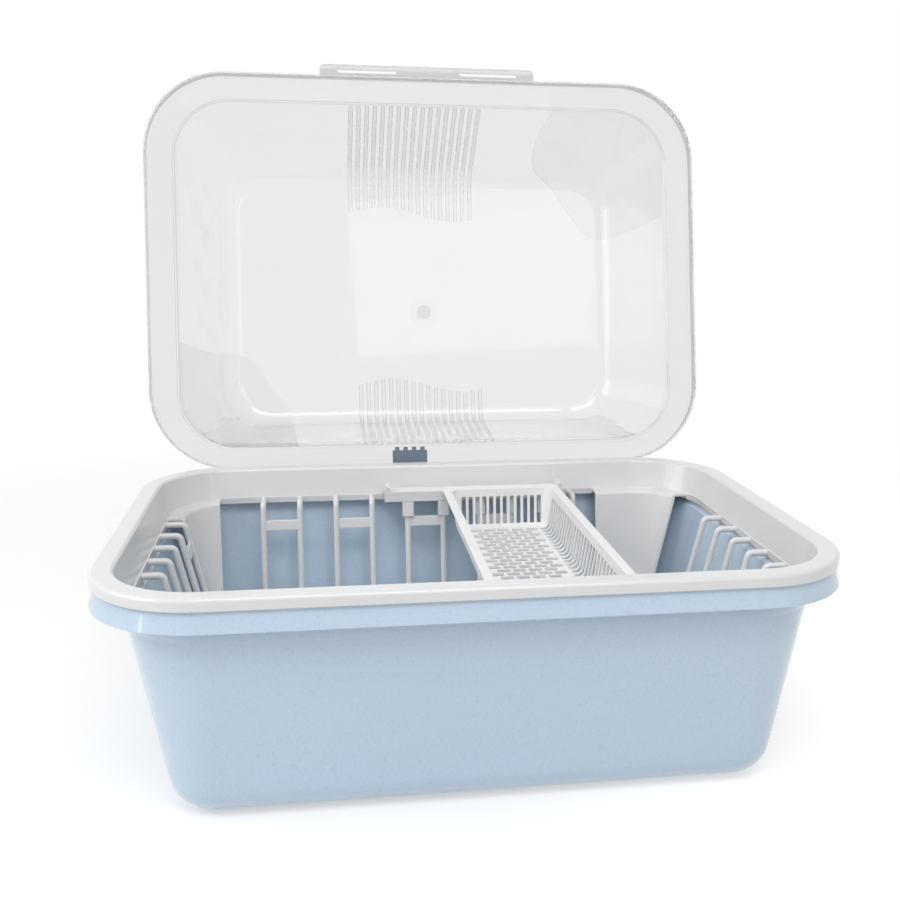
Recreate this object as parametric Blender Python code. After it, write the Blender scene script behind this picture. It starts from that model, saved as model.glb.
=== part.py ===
"""A covered dish drainer: a blue tub, a white drainer basket with ribbed windows, two cross rails,
a cutlery basket that slides along them, and a clear cover that stands open on a rear hinge.

X runs along the length, Y away from the viewer and Z up. The origin is the middle of the tub's foot.
Sizes are metres. An inset is a distance in from the rim's outline.
"""

import math

import bmesh
import bpy
from mathutils import Matrix, Vector

# Fits and wall thickness, shared by every moulding
WALL = 0.0018
GAP = 0.0003
LOOSE_FIT = 0.0009
LEAST_CORNER = 0.003
CORNER_STEPS = 6
BEND_STEPS = 3
SMALL_BEND_STEPS = 2

# Outline of the rim, at the lower edge of the tub's skirt
RIM_LENGTH = 0.500
RIM_WIDTH = 0.3502
RIM_CORNER = 0.074

# Tub
FOOT_END_INSET = 0.0490
FOOT_SIDE_INSET = 0.0333
FOOT_CORNER = 0.026
FOOT_FILLET = 0.0216
TUB_WALL_TOP = 0.127
TUB_WALL_TOP_END_INSET = 0.0225
TUB_WALL_TOP_SIDE_INSET = 0.01365
TUB_WALL_TOP_CORNER = 0.057
FLARE_TOP = 0.145
SKIRT_LOW = 0.139
SKIRT_SHOULDER = 0.1525
SKIRT_ROUNDING = 0.0015
TUB_TOP = 0.1592

# Drainer basket
LIP_INSET = 0.0010
LIP_LOW = 0.1528
RIM_ROUNDING = 0.0030
RIM_INNER_INSET = 0.0165
BAND_LOW_INSET = 0.0225
SHOULDER_TOP = 0.1375
SHOULDER_WIDTH = 0.0100
SHOULDER_ROUNDING = 0.0040
RIDGE_INSET = 0.0215
RIDGE_THICKNESS = 0.0030
RIDGE_LOW = 0.1325
DRAINER_FLOOR = 0.022
DRAINER_FLOOR_END_INSET = 0.0633
DRAINER_FLOOR_SIDE_INSET = 0.0543
DRAINER_FLOOR_CORNER = 0.024
DRAINER_FILLET = 0.012

# Windows in the drainer basket's four walls, and the ribs that stand in them. A window's sides are
# measured in from the rim's ends, and the ribs' places are shares of its width.
WINDOW_LOW = 0.040
WINDOW_HIGH = 0.139
WINDOW_INSET = 0.0234
WINDOW_DEPTH = 0.075
WINDOW_TAPER = 0.012
LONG_WINDOW_LEFT_INSET = 0.060
LONG_WINDOW_RIGHT_INSET = 0.108
END_WINDOW_FAR_INSET = 0.0671
END_WINDOW_NEAR_INSET = 0.0801
RIB_RADIUS = 0.0025
RIB_SIDES = 6
RIB_ROOT_INSET = 0.0222
RIB_BEND_INSET = 0.0345
RIB_FACE_INSET = 0.0385
RIB_BEND_DROP = 0.0045
RIB_LOW = 0.036
LEFT_RIBS = 6
LEFT_RIBS_START_SHARE = 0.1102
LEFT_RIBS_PITCH_SHARE = 0.0940
RIGHT_RIBS = 4
RIGHT_RIBS_START_SHARE = 0.6777
RIGHT_RIBS_PITCH_SHARE = 0.0858
END_RIBS = 5
END_RIBS_START_SHARE = 0.7044
END_RIBS_PITCH_SHARE = 0.1576
CROSSBAR_LOW = 0.1125
CROSSBAR_HEIGHT = 0.0085
CROSSBAR_THICKNESS = 0.0030
DRAIN_SLOT_WIDTH = 0.007
DRAIN_SLOT_LENGTH_SHARE = 0.1393
DRAIN_SLOT_PITCH_SHARES = (0.1768, 0.0869)
DRAIN_SLOT_COLUMNS = 5
DRAIN_SLOT_ROWS = 10

# Cross rails
RAIL_LEFT = 0.049
RAIL_INSET = 0.028
RAIL_FRONT_INSET = 0.0440
RAIL_TOP = 0.144
RAIL_LIP_LOW = 0.1352
RAIL_STOP_HEIGHT = 0.0042
RAIL_STOP_WIDTH = 0.0050
LEG_WIDTH = 0.0095
LEG_LOW = 0.122
LEG_CLEARANCE = 0.0006

# Cutlery basket
CUTLERY_X = 0.05325
CUTLERY_RIM_WIDTH = 0.1035
CUTLERY_RIM_CORNER = 0.011
CUTLERY_RIM_SIDE = 0.00995
CUTLERY_RIM_REST = 0.0069
CUTLERY_END_ROOM = 0.0043
CUTLERY_MOUTH_CORNER = 0.009
CUTLERY_LEAN = 0.004
CUTLERY_FLOOR_CORNER = 0.008
CUTLERY_FLOOR = 0.1125
CUTLERY_FILLET = 0.004
SIDE_SLOTS = 27
SIDE_SLOT_PITCH_SHARE = 0.0346
SIDE_SLOT_WIDTH_SHARE = 0.0216
SIDE_SLOT_TURN_IN = 0.0078
END_SLOTS = 12
END_SLOT_PITCH_SHARE = 0.0741
END_SLOT_WIDTH_SHARE = 0.0450
SLOT_TOP_MARGIN = 0.0048
END_SLOT_LOW_MARGIN = 0.0045
BRICKS_ACROSS = 5
BRICK_PITCH_SHARE = 0.1521
BRICK_LENGTH_SHARE = 0.1230

# Hinge
HINGE_BEHIND = 0.0045
HINGE_HEIGHT = 0.1547
OPEN_ANGLE = math.radians(101.9)
CLIP_LEFT = 0.038
CLIP_WIDTH = 0.032
PIN_RADIUS = 0.0018
PIN_SIDES = 12
LUG_WIDTH = 0.0040
LUG_RADIUS = 0.0032
HOOKS = 4
HOOK_PITCH = 0.0078
HOOK_WIDTH = 0.0042
HOOK_THICKNESS = 0.0018
CLIP_DEPTH = 0.0145
CLIP_EDGE = 0.0015
PRONG_LENGTH = 0.0030

# Cover, as it lies closed
LID_CORNER = 0.0715
LID_LIP = 0.0086
LID_ROUNDING = 0.0015
DOME_END_INSET = 0.0240
DOME_SIDE_INSET = 0.0200
DOME_CORNER = 0.0494
DOME_Y = 0.0021
DOME_HEIGHT = 0.0750
DOME_FILLET = 0.012
PANEL_END_INSET = 0.0630
PANEL_SIDE_INSET = 0.0546
PANEL_CORNER = 0.040
PANEL_Y = 0.0141
STEP_WIDTH = 0.0030
STEP_HEIGHT = 0.0012
TAB_X = 0.0024
TAB_LENGTH = 0.198
TAB_DEPTH = 0.0122
TAB_CORNER = 0.004
TAB_THICKNESS = 0.0022
TAB_DROP = 0.0003
TAB_ROOT = 0.0012
TAB_SLOT_LENGTH = 0.054
TAB_SLOT_WIDTH = 0.0030
TAB_SLOT_X = 0.056
GRIP_RIBS = 17
GRIP_RIB_PITCH = 0.0074
GRIP_RIB_WIDTH = 0.0040
GRIP_RIB_HEIGHT = 0.0009
FRONT_GRIP_X = -0.0100
REAR_GRIP_X = -0.0035
FRONT_GRIP_REACH = 0.0245
REAR_GRIP_REACH = 0.0231
GRIP_WAVE = 0.0070
GRIP_WAVES = 0.9
GATE_X = 0.0007
GATE_Y = 0.0276
GATE_RADIUS = 0.0070
GATE_HEIGHT = 0.0006
GATE_SIDES = 20

# What follows from those sizes
OUTLINE = (RIM_LENGTH / 2, RIM_WIDTH / 2, RIM_CORNER)
MOUTH_INSET = RIM_INNER_INSET - WALL - LOOSE_FIT
SKIRT_INSET = LIP_INSET + WALL + GAP
FLANGE_LOW = TUB_TOP + GAP
RIM_TOP = FLANGE_LOW + WALL
LOWER_WALL_INSET = BAND_LOW_INSET + SHOULDER_WIDTH + SHOULDER_ROUNDING
LOWER_WALL_TOP = SHOULDER_TOP - SHOULDER_ROUNDING
RAIL_LOW = SHOULDER_TOP + GAP
CUTLERY_RIM_LOW = RAIL_TOP + GAP
CUTLERY_RIM_TOP = CUTLERY_RIM_LOW + WALL
CUTLERY_RIM_LENGTH = RIM_WIDTH - 2 * (RAIL_FRONT_INSET - CUTLERY_RIM_REST)
CUTLERY_MOUTH_LENGTH = RIM_WIDTH - 2 * (RAIL_FRONT_INSET + CUTLERY_END_ROOM)
CUTLERY_MOUTH_WIDTH = CUTLERY_RIM_WIDTH - 2 * CUTLERY_RIM_SIDE
CUTLERY_FLOOR_LENGTH = CUTLERY_MOUTH_LENGTH - 2 * CUTLERY_LEAN
CUTLERY_FLOOR_WIDTH = CUTLERY_MOUTH_WIDTH - 2 * CUTLERY_LEAN
SIDE_SLOT_PITCH = SIDE_SLOT_PITCH_SHARE * CUTLERY_FLOOR_LENGTH
SIDE_SLOT_WIDTH = SIDE_SLOT_WIDTH_SHARE * CUTLERY_FLOOR_LENGTH
LONG_WINDOW_LEFT = LONG_WINDOW_LEFT_INSET - RIM_LENGTH / 2
LONG_WINDOW_RIGHT = RIM_LENGTH / 2 - LONG_WINDOW_RIGHT_INSET
END_WINDOW_FAR = RIM_WIDTH / 2 - END_WINDOW_FAR_INSET
END_WINDOW_NEAR = END_WINDOW_NEAR_INSET - RIM_WIDTH / 2
RAIL_RIGHT = CUTLERY_X + CUTLERY_RIM_WIDTH / 2 + GAP + RAIL_STOP_WIDTH
LID_LOW = RIM_TOP + GAP
LID_HIGH = LID_LOW + WALL
HINGE = Vector((0, RIM_WIDTH / 2 + HINGE_BEHIND, HINGE_HEIGHT))
CLIP_X = CLIP_WIDTH / 2 - CLIP_LEFT
REAR, FRONT, RIGHT, LEFT = (0, 1), (0, -1), (1, 0), (-1, 0)


def drawn_in(end_inset, side_inset, corner):
    """An outline inside the rim's, with one distance in from its ends and one from its long sides."""
    return RIM_LENGTH / 2 - end_inset, RIM_WIDTH / 2 - side_inset, corner


def clear_scene():
    for thing in list(bpy.data.objects):
        bpy.data.objects.remove(thing, do_unlink=True)


def plastic(name, colour, roughness, alpha=1.0):
    """One moulded plastic in the photo's colour."""
    material = bpy.data.materials.new(name)
    material.use_nodes = True
    shader = material.node_tree.nodes["Principled BSDF"]
    shader.inputs["Base Color"].default_value = (*colour, 1.0)
    shader.inputs["Roughness"].default_value = roughness
    shader.inputs["Metallic"].default_value = 0.0
    shader.inputs["Alpha"].default_value = alpha
    return material


def shrunk(outline, inset):
    """The outline drawn in all round by a distance."""
    half_x, half_y, corner = outline
    return half_x - inset, half_y - inset, max(corner - inset, LEAST_CORNER)


def between(first, second, share):
    return tuple(a + (b - a) * share for a, b in zip(first, second))


def ring(outline, height, middle_y=0.0):
    """A level rectangle with rounded corners, walked once round."""
    half_x, half_y, corner = outline
    points = []
    for quarter, (side_x, side_y) in enumerate(((1, 1), (-1, 1), (-1, -1), (1, -1))):
        for step in range(CORNER_STEPS + 1):
            turn = math.radians(90) * (quarter + step / CORNER_STEPS)
            x = side_x * (half_x - corner) + corner * math.cos(turn)
            y = side_y * (half_y - corner) + corner * math.sin(turn)
            points.append(Vector((x, middle_y + y, height)))
    return points


def rim_ring(inset, height):
    return ring(shrunk(OUTLINE, inset), height)


def bend(inset, height, radius, start, end):
    """Rings round a bend in the rim's section. 0 degrees faces out, 90 up and 180 in."""
    rings = []
    for step in range(BEND_STEPS + 1):
        turn = math.radians(start + (end - start) * step / BEND_STEPS)
        rings.append(rim_ring(inset - radius * math.cos(turn), height + radius * math.sin(turn)))
    return rings


def floor_fillet(outline_at, floor, radius, middle_at=lambda height: 0.0, up=1, steps=BEND_STEPS):
    """Rings from the flat of a floor, or of a roof when up is -1, round into its leaning wall."""
    rings = []
    for step in range(steps + 1):
        turn = math.radians(90) * step / steps
        height = floor + up * radius * (1 - math.cos(turn))
        outline = shrunk(outline_at(height), radius * (1 - math.sin(turn)))
        rings.append(ring(outline, height, middle_at(height)))
    return rings


def solid(name, bodies):
    """One mesh of closed bodies. Each body is a stack of rings with its first and last ring filled."""
    shape = bmesh.new()
    for rings in bodies:
        levels = [[shape.verts.new(point) for point in level] for level in rings]
        for low, high in zip(levels, levels[1:]):
            for i in range(len(low)):
                j = (i + 1) % len(low)
                shape.faces.new((low[i], low[j], high[j], high[i]))
        shape.faces.new(levels[0])
        shape.faces.new(levels[-1])
    bmesh.ops.recalc_face_normals(shape, faces=shape.faces)
    mesh = bpy.data.meshes.new(name)
    shape.to_mesh(mesh)
    shape.free()
    thing = bpy.data.objects.new(name, mesh)
    bpy.context.scene.collection.objects.link(thing)
    return thing


def combine(body, bodies, operation):
    """Joins the bodies to this one, or cuts them out of it."""
    tool = solid("tool", bodies)
    step = body.modifiers.new("combine", "BOOLEAN")
    step.object = tool
    step.operation = operation
    step.solver = "EXACT"
    graph = bpy.context.evaluated_depsgraph_get()
    mesh = bpy.data.meshes.new_from_object(body.evaluated_get(graph))
    body.modifiers.clear()
    body.data = mesh
    bpy.data.objects.remove(tool, do_unlink=True)


def block(x_range, y_range, z_range):
    """A body with square corners between two places on each axis."""
    corners = [(x_range[0], y_range[0]), (x_range[1], y_range[0])]
    corners += [(x_range[1], y_range[1]), (x_range[0], y_range[1])]
    return [[Vector((x, y, z)) for x, y in corners] for z in z_range]


def about(middle, width):
    return middle - width / 2, middle + width / 2


def rod(path, side, radius, sides=RIB_SIDES):
    """A round rod along a path that lies flat to the side direction."""
    rings = []
    for i, point in enumerate(path):
        before = (point - path[i - 1]).normalized() if i else None
        after = (path[i + 1] - point).normalized() if i + 1 < len(path) else None
        along = ((before or after) + (after or before)).normalized()
        stretch = 1 / along.dot(before or after)
        level = along.cross(side)
        turns = [math.tau * (k + 0.5) / sides for k in range(sides)]
        rings.append(
            [point + radius * (math.cos(t) * side + stretch * math.sin(t) * level) for t in turns]
        )
    return rings


def on_wall(wall, along, inset, height):
    """The place that far along a wall, in from the outline, and up."""
    if wall[0]:
        return Vector((wall[0] * (RIM_LENGTH / 2 - inset), along, height))
    return Vector((along, wall[1] * (RIM_WIDTH / 2 - inset), height))


def finish(thing, material, origin=Vector()):
    """Gives the piece its material, its smooth rounded faces and its origin."""
    thing.data.materials.clear()
    thing.data.materials.append(material)
    thing.data.transform(Matrix.Translation(-origin))
    thing.location = origin
    thing.data.shade_smooth()
    thing.data.set_sharp_from_angle(angle=math.radians(32))
    return thing


def tub_outline(height):
    """The tub's outer wall: it leans out from the foot to where the flare begins."""
    foot = drawn_in(FOOT_END_INSET, FOOT_SIDE_INSET, FOOT_CORNER)
    top = drawn_in(TUB_WALL_TOP_END_INSET, TUB_WALL_TOP_SIDE_INSET, TUB_WALL_TOP_CORNER)
    return between(foot, top, height / TUB_WALL_TOP)


def tub_inside(height):
    return shrunk(tub_outline(height), WALL)


def make_tub():
    """The blue tub: an open shell whose rim turns over into a hanging skirt."""
    under_rim = TUB_TOP - WALL
    flare_middle = (TUB_WALL_TOP + FLARE_TOP) / 2
    mouth = shrunk(OUTLINE, MOUTH_INSET)
    outer_mouth = shrunk(OUTLINE, MOUTH_INSET - WALL)
    outer_flare = between(tub_outline(TUB_WALL_TOP), outer_mouth, 0.75)
    rings = floor_fillet(tub_outline, 0, FOOT_FILLET)
    rings += [ring(tub_outline(TUB_WALL_TOP), TUB_WALL_TOP), ring(outer_flare, flare_middle)]
    rings += [ring(outer_mouth, FLARE_TOP), ring(outer_mouth, under_rim)]
    rings += [rim_ring(SKIRT_INSET + WALL, under_rim), rim_ring(SKIRT_INSET + WALL, SKIRT_SHOULDER)]
    rings += [rim_ring(WALL, SKIRT_LOW), rim_ring(0, SKIRT_LOW), rim_ring(SKIRT_INSET, SKIRT_SHOULDER)]
    rings += bend(SKIRT_INSET + SKIRT_ROUNDING, TUB_TOP - SKIRT_ROUNDING, SKIRT_ROUNDING, 0, 90)
    rings += [ring(mouth, TUB_TOP), ring(mouth, FLARE_TOP)]
    rings += [ring(shrunk(outer_flare, WALL), flare_middle)]
    rings += [ring(tub_inside(TUB_WALL_TOP), TUB_WALL_TOP)]
    rings += reversed(floor_fillet(tub_inside, WALL, FOOT_FILLET - WALL))
    return finish(solid("tub", [rings]), plastic("tub_blue", (0.47, 0.60, 0.71), 0.35))


def drainer_inside(height):
    """The drainer basket's lower wall: it leans in from the shoulder to the floor."""
    floor = drawn_in(DRAINER_FLOOR_END_INSET, DRAINER_FLOOR_SIDE_INSET, DRAINER_FLOOR_CORNER)
    top = shrunk(OUTLINE, LOWER_WALL_INSET)
    return between(floor, top, (height - DRAINER_FLOOR) / (LOWER_WALL_TOP - DRAINER_FLOOR))


def drainer_outside(height):
    return shrunk(drainer_inside(height), -WALL)


def drainer_shell():
    """The basket's skin, from under its floor up over the rim and down to the floor inside."""
    bend_inset = LIP_INSET + RIM_ROUNDING
    bend_height = RIM_TOP - RIM_ROUNDING
    inner_bend_inset = RIM_INNER_INSET - RIM_ROUNDING
    shoulder_low = SHOULDER_TOP - WALL
    rings = floor_fillet(drainer_outside, DRAINER_FLOOR - WALL, DRAINER_FILLET + WALL)
    rings += [ring(drainer_outside(LOWER_WALL_TOP), LOWER_WALL_TOP)]
    rings += [rim_ring(LOWER_WALL_INSET - WALL, shoulder_low)]
    rings += [rim_ring(RIDGE_INSET + RIDGE_THICKNESS, shoulder_low)]
    rings += [rim_ring(RIDGE_INSET + RIDGE_THICKNESS, RIDGE_LOW), rim_ring(RIDGE_INSET, RIDGE_LOW)]
    rings += [rim_ring(BAND_LOW_INSET - WALL, SHOULDER_TOP)]
    rings += reversed(bend(inner_bend_inset, bend_height, RIM_ROUNDING - WALL, 90, 180))
    rings += reversed(bend(bend_inset, bend_height, RIM_ROUNDING - WALL, 0, 90))
    rings += [rim_ring(LIP_INSET + WALL, LIP_LOW), rim_ring(LIP_INSET, LIP_LOW)]
    rings += bend(bend_inset, bend_height, RIM_ROUNDING, 0, 90)
    rings += bend(inner_bend_inset, bend_height, RIM_ROUNDING, 90, 180)
    rings += [rim_ring(BAND_LOW_INSET, SHOULDER_TOP)]
    rings += bend(BAND_LOW_INSET + SHOULDER_WIDTH, LOWER_WALL_TOP, SHOULDER_ROUNDING, 90, 180)
    rings += reversed(floor_fillet(drainer_inside, DRAINER_FLOOR, DRAINER_FILLET))
    return solid("drainer_basket", [rings])


def window(wall, low_range, high_range):
    """A tapered opening through one wall, from the band down to the sill."""
    rings = []
    for height, (start, end) in ((WINDOW_LOW, low_range), (WINDOW_HIGH, high_range)):
        places = ((start, WINDOW_INSET), (end, WINDOW_INSET), (end, WINDOW_DEPTH), (start, WINDOW_DEPTH))
        rings.append([on_wall(wall, along, inset, height) for along, inset in places])
    return rings


def windows():
    long_low = (LONG_WINDOW_LEFT + WINDOW_TAPER, LONG_WINDOW_RIGHT)
    long_high = (LONG_WINDOW_LEFT, LONG_WINDOW_RIGHT)
    right_low = (END_WINDOW_NEAR, END_WINDOW_FAR - WINDOW_TAPER)
    right_high = (END_WINDOW_NEAR, END_WINDOW_FAR)
    left_low = (WINDOW_TAPER - END_WINDOW_FAR, -END_WINDOW_NEAR)
    left_high = (-END_WINDOW_FAR, -END_WINDOW_NEAR)
    return [
        window(REAR, long_low, long_high),
        window(FRONT, long_low, long_high),
        window(RIGHT, right_low, right_high),
        window(LEFT, left_low, left_high),
    ]


def rib_lean(wall):
    """How far a wall's ribs lean in for each unit of height, the same as the wall behind them."""
    axis = 0 if wall[0] else 1
    top, floor = drainer_inside(LOWER_WALL_TOP), drainer_inside(DRAINER_FLOOR)
    return (top[axis] - floor[axis]) / (LOWER_WALL_TOP - DRAINER_FLOOR)


def rib_inset(wall, height):
    """Where the middle of a rib stands, below its bend."""
    bend_low = SHOULDER_TOP - RIB_RADIUS - RIB_BEND_DROP
    return RIB_FACE_INSET + rib_lean(wall) * (bend_low - height)


def rib(wall, along):
    """A round rib that comes out of the band, turns down and runs to the sill."""
    top = SHOULDER_TOP - RIB_RADIUS
    bend_low = top - RIB_BEND_DROP
    middle_inset = RIB_FACE_INSET - (RIB_FACE_INSET - RIB_BEND_INSET) / 4
    section = (
        (RIB_ROOT_INSET, top),
        (RIB_BEND_INSET, top),
        (middle_inset, top - RIB_BEND_DROP / 3),
        (RIB_FACE_INSET, bend_low),
        (rib_inset(wall, RIB_LOW), RIB_LOW),
    )
    path = [on_wall(wall, along, inset, height) for inset, height in section]
    side = Vector((0, 1, 0)) if wall[0] else Vector((1, 0, 0))
    return rod(path, side, RIB_RADIUS)


def long_rib_places():
    shares = [LEFT_RIBS_START_SHARE + LEFT_RIBS_PITCH_SHARE * i for i in range(LEFT_RIBS)]
    shares += [RIGHT_RIBS_START_SHARE + RIGHT_RIBS_PITCH_SHARE * i for i in range(RIGHT_RIBS)]
    return [LONG_WINDOW_LEFT + (LONG_WINDOW_RIGHT - LONG_WINDOW_LEFT) * share for share in shares]


def end_rib_places(wall):
    shares = [END_RIBS_START_SHARE - END_RIBS_PITCH_SHARE * i for i in range(END_RIBS)]
    places = [END_WINDOW_NEAR + (END_WINDOW_FAR - END_WINDOW_NEAR) * share for share in shares]
    return [wall[0] * place for place in places]


def crossbar(wall, start, end):
    """A flat bar that ties two ribs together and leans with them."""
    rings = []
    for height in (CROSSBAR_LOW, CROSSBAR_LOW + CROSSBAR_HEIGHT):
        near, far = about(rib_inset(wall, height), CROSSBAR_THICKNESS)
        places = ((start, near), (end, near), (end, far), (start, far))
        rings.append([on_wall(wall, along, inset, height) for along, inset in places])
    return rings


def drain_slots():
    """Slots through the drainer basket's floor."""
    half_x, half_y, _ = drainer_inside(DRAINER_FLOOR)
    pitch_x, pitch_y = (2 * half_x * DRAIN_SLOT_PITCH_SHARES[0], 2 * half_y * DRAIN_SLOT_PITCH_SHARES[1])
    length = 2 * half_x * DRAIN_SLOT_LENGTH_SHARE
    slots = []
    for column in range(DRAIN_SLOT_COLUMNS):
        across = about((column - (DRAIN_SLOT_COLUMNS - 1) / 2) * pitch_x, length)
        for row in range(DRAIN_SLOT_ROWS):
            y = (row - (DRAIN_SLOT_ROWS - 1) / 2) * pitch_y
            deep = (DRAINER_FLOOR - 2 * WALL, DRAINER_FLOOR + WALL)
            slots.append(block(across, about(y, DRAIN_SLOT_WIDTH), deep))
    return slots


def hinge_lug(start):
    """A rounded ear behind the rim that carries one end of the hinge pin."""
    root = RIM_WIDTH / 2 - LIP_INSET - WALL / 2
    section = [(root, LIP_LOW + GAP)]
    for step in range(9):
        turn = math.radians(-120 + 210 * step / 8)
        section.append((HINGE.y + LUG_RADIUS * math.cos(turn), HINGE.z + LUG_RADIUS * math.sin(turn)))
    section.append((root, HINGE.z + LUG_RADIUS))
    return [[Vector((x, y, z)) for y, z in section] for x in (start, start + LUG_WIDTH)]


def hinge_pin():
    ends = about(CLIP_X, CLIP_WIDTH + LUG_WIDTH)
    path = [Vector((x, HINGE.y, HINGE.z)) for x in ends]
    return rod(path, Vector((0, 1, 0)), PIN_RADIUS, PIN_SIDES)


def make_drainer_basket():
    """The white basket: a shell with a shoulder, opened by windows that bent ribs stand in."""
    basket = drainer_shell()
    combine(basket, windows(), "DIFFERENCE")
    long_places = long_rib_places()
    ribs = [rib(wall, x) for wall in (REAR, FRONT) for x in long_places]
    ribs += [rib(wall, y) for wall in (LEFT, RIGHT) for y in end_rib_places(wall)]
    combine(basket, ribs, "UNION")
    bars = []
    for wall in (REAR, FRONT):
        bars += [crossbar(wall, *long_places[i : i + 2]) for i in range(0, len(long_places), 2)]
    bars += [crossbar(wall, *end_rib_places(wall)[-2:]) for wall in (LEFT, RIGHT)]
    combine(basket, bars, "UNION")
    combine(basket, drain_slots(), "DIFFERENCE")
    lug_left = CLIP_X - CLIP_WIDTH / 2 - GAP - LUG_WIDTH
    lug_right = CLIP_X + CLIP_WIDTH / 2 + GAP
    combine(basket, [hinge_lug(lug_left), hinge_lug(lug_right)], "UNION")
    combine(basket, [hinge_pin()], "UNION")
    return finish(basket, plastic("drainer_white", (0.80, 0.80, 0.79), 0.30))


def make_bracket(name, wall):
    """A cross rail: an upturned channel on the rib tops, with an end stop each way and a row of legs,
    each of which straddles a rib."""
    ends = (-RAIL_LEFT, RAIL_RIGHT)
    section = (
        (RAIL_FRONT_INSET, RAIL_LIP_LOW),
        (RAIL_FRONT_INSET, RAIL_TOP),
        (RAIL_INSET, RAIL_TOP),
        (RAIL_INSET, RAIL_LOW),
        (RAIL_INSET + WALL, RAIL_LOW),
        (RAIL_INSET + WALL, RAIL_TOP - WALL),
        (RAIL_FRONT_INSET - WALL, RAIL_TOP - WALL),
        (RAIL_FRONT_INSET - WALL, RAIL_LIP_LOW),
    )
    channel = [[on_wall(wall, x, inset, height) for inset, height in section] for x in ends]
    bracket = solid(name, [channel])
    legs, grooves = [], []
    for x in long_rib_places():
        if not ends[0] < x < ends[1]:
            continue
        leg, groove = [], []
        for height in (LEG_LOW, RAIL_TOP - WALL / 2):
            face = rib_inset(wall, height) + RIB_RADIUS + LEG_CLEARANCE
            front = face + WALL if height == LEG_LOW else RAIL_FRONT_INSET - WALL / 3
            leg.append(leg_ring(wall, about(x, LEG_WIDTH), (face - LEG_WIDTH / 2, front), height))
        for height in (LEG_LOW - WALL, RAIL_LOW):
            face = rib_inset(wall, height) + RIB_RADIUS + LEG_CLEARANCE
            width = 2 * (RIB_RADIUS + GAP)
            groove.append(leg_ring(wall, about(x, width), (face - LEG_WIDTH, face), height))
        legs.append(leg)
        grooves.append(groove)
    combine(bracket, legs, "UNION")
    combine(bracket, grooves, "DIFFERENCE")
    combine(bracket, rail_stops(wall, ends), "UNION")
    return finish(bracket, plastic(f"{name}_white", (0.83, 0.83, 0.82), 0.30))


def leg_ring(wall, sides, insets, height):
    places = ((0, 0), (1, 0), (1, 1), (0, 1))
    return [on_wall(wall, sides[a], insets[b], height) for a, b in places]


def rail_stops(wall, ends):
    """A wedge on each end of the rail that keeps the cutlery basket from sliding off."""
    stops = []
    for end, inward in ((ends[0], 1), (ends[1], -1)):
        tip = end + inward * RAIL_STOP_WIDTH / 3
        foot = end + inward * RAIL_STOP_WIDTH
        low, high = RAIL_TOP - WALL / 2, RAIL_TOP + RAIL_STOP_HEIGHT
        section = ((end, low), (foot, low), (foot, high), (tip, high), (end, RAIL_TOP))
        insets = (RAIL_INSET + GAP, RAIL_FRONT_INSET - GAP)
        stops.append([[on_wall(wall, x, inset, z) for x, z in section] for inset in insets])
    return stops


def cutlery_outside(height):
    """The cutlery basket's wall, which leans out a little towards the mouth."""
    floor = (CUTLERY_FLOOR_WIDTH / 2, CUTLERY_FLOOR_LENGTH / 2, CUTLERY_FLOOR_CORNER)
    mouth = (CUTLERY_MOUTH_WIDTH / 2, CUTLERY_MOUTH_LENGTH / 2, CUTLERY_MOUTH_CORNER)
    low = CUTLERY_FLOOR - WALL
    return between(floor, mouth, (height - low) / (CUTLERY_RIM_LOW - low))


def cutlery_inside(height):
    return shrunk(cutlery_outside(height), WALL)


def cutlery_slots():
    """Upright slots in the four walls, those of the long walls turning in under the floor."""
    low, high = CUTLERY_FLOOR - 2 * WALL, CUTLERY_RIM_LOW - SLOT_TOP_MARGIN
    slots = []
    for i in range(SIDE_SLOTS):
        y = (i - (SIDE_SLOTS - 1) / 2) * SIDE_SLOT_PITCH
        for side in (-1, 1):
            inner = CUTLERY_FLOOR_WIDTH / 2 - SIDE_SLOT_TURN_IN
            across = sorted((side * inner, side * CUTLERY_RIM_WIDTH / 2))
            slots.append(block(across, about(y, SIDE_SLOT_WIDTH), (low, high)))
    for i in range(END_SLOTS):
        x = (i - (END_SLOTS - 1) / 2) * END_SLOT_PITCH_SHARE * CUTLERY_FLOOR_WIDTH
        for side in (-1, 1):
            inner = CUTLERY_FLOOR_LENGTH / 2 - CUTLERY_FILLET
            through = sorted((side * inner, side * CUTLERY_RIM_LENGTH / 2))
            up = (CUTLERY_FLOOR + END_SLOT_LOW_MARGIN, high)
            slots.append(block(about(x, END_SLOT_WIDTH_SHARE * CUTLERY_FLOOR_WIDTH), through, up))
    return slots


def floor_bricks():
    """Short slots in the cutlery basket's floor, laid like bricks."""
    deep = (CUTLERY_FLOOR - 2 * WALL, CUTLERY_FLOOR + WALL)
    length = BRICK_LENGTH_SHARE * CUTLERY_FLOOR_WIDTH
    bricks = []
    for row in range(SIDE_SLOTS):
        y = (row - (SIDE_SLOTS - 1) / 2) * SIDE_SLOT_PITCH
        count = BRICKS_ACROSS - row % 2
        for i in range(count):
            x = (i - (count - 1) / 2) * BRICK_PITCH_SHARE * CUTLERY_FLOOR_WIDTH
            bricks.append(block(about(x, length), about(y, SIDE_SLOT_WIDTH), deep))
    return bricks


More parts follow.
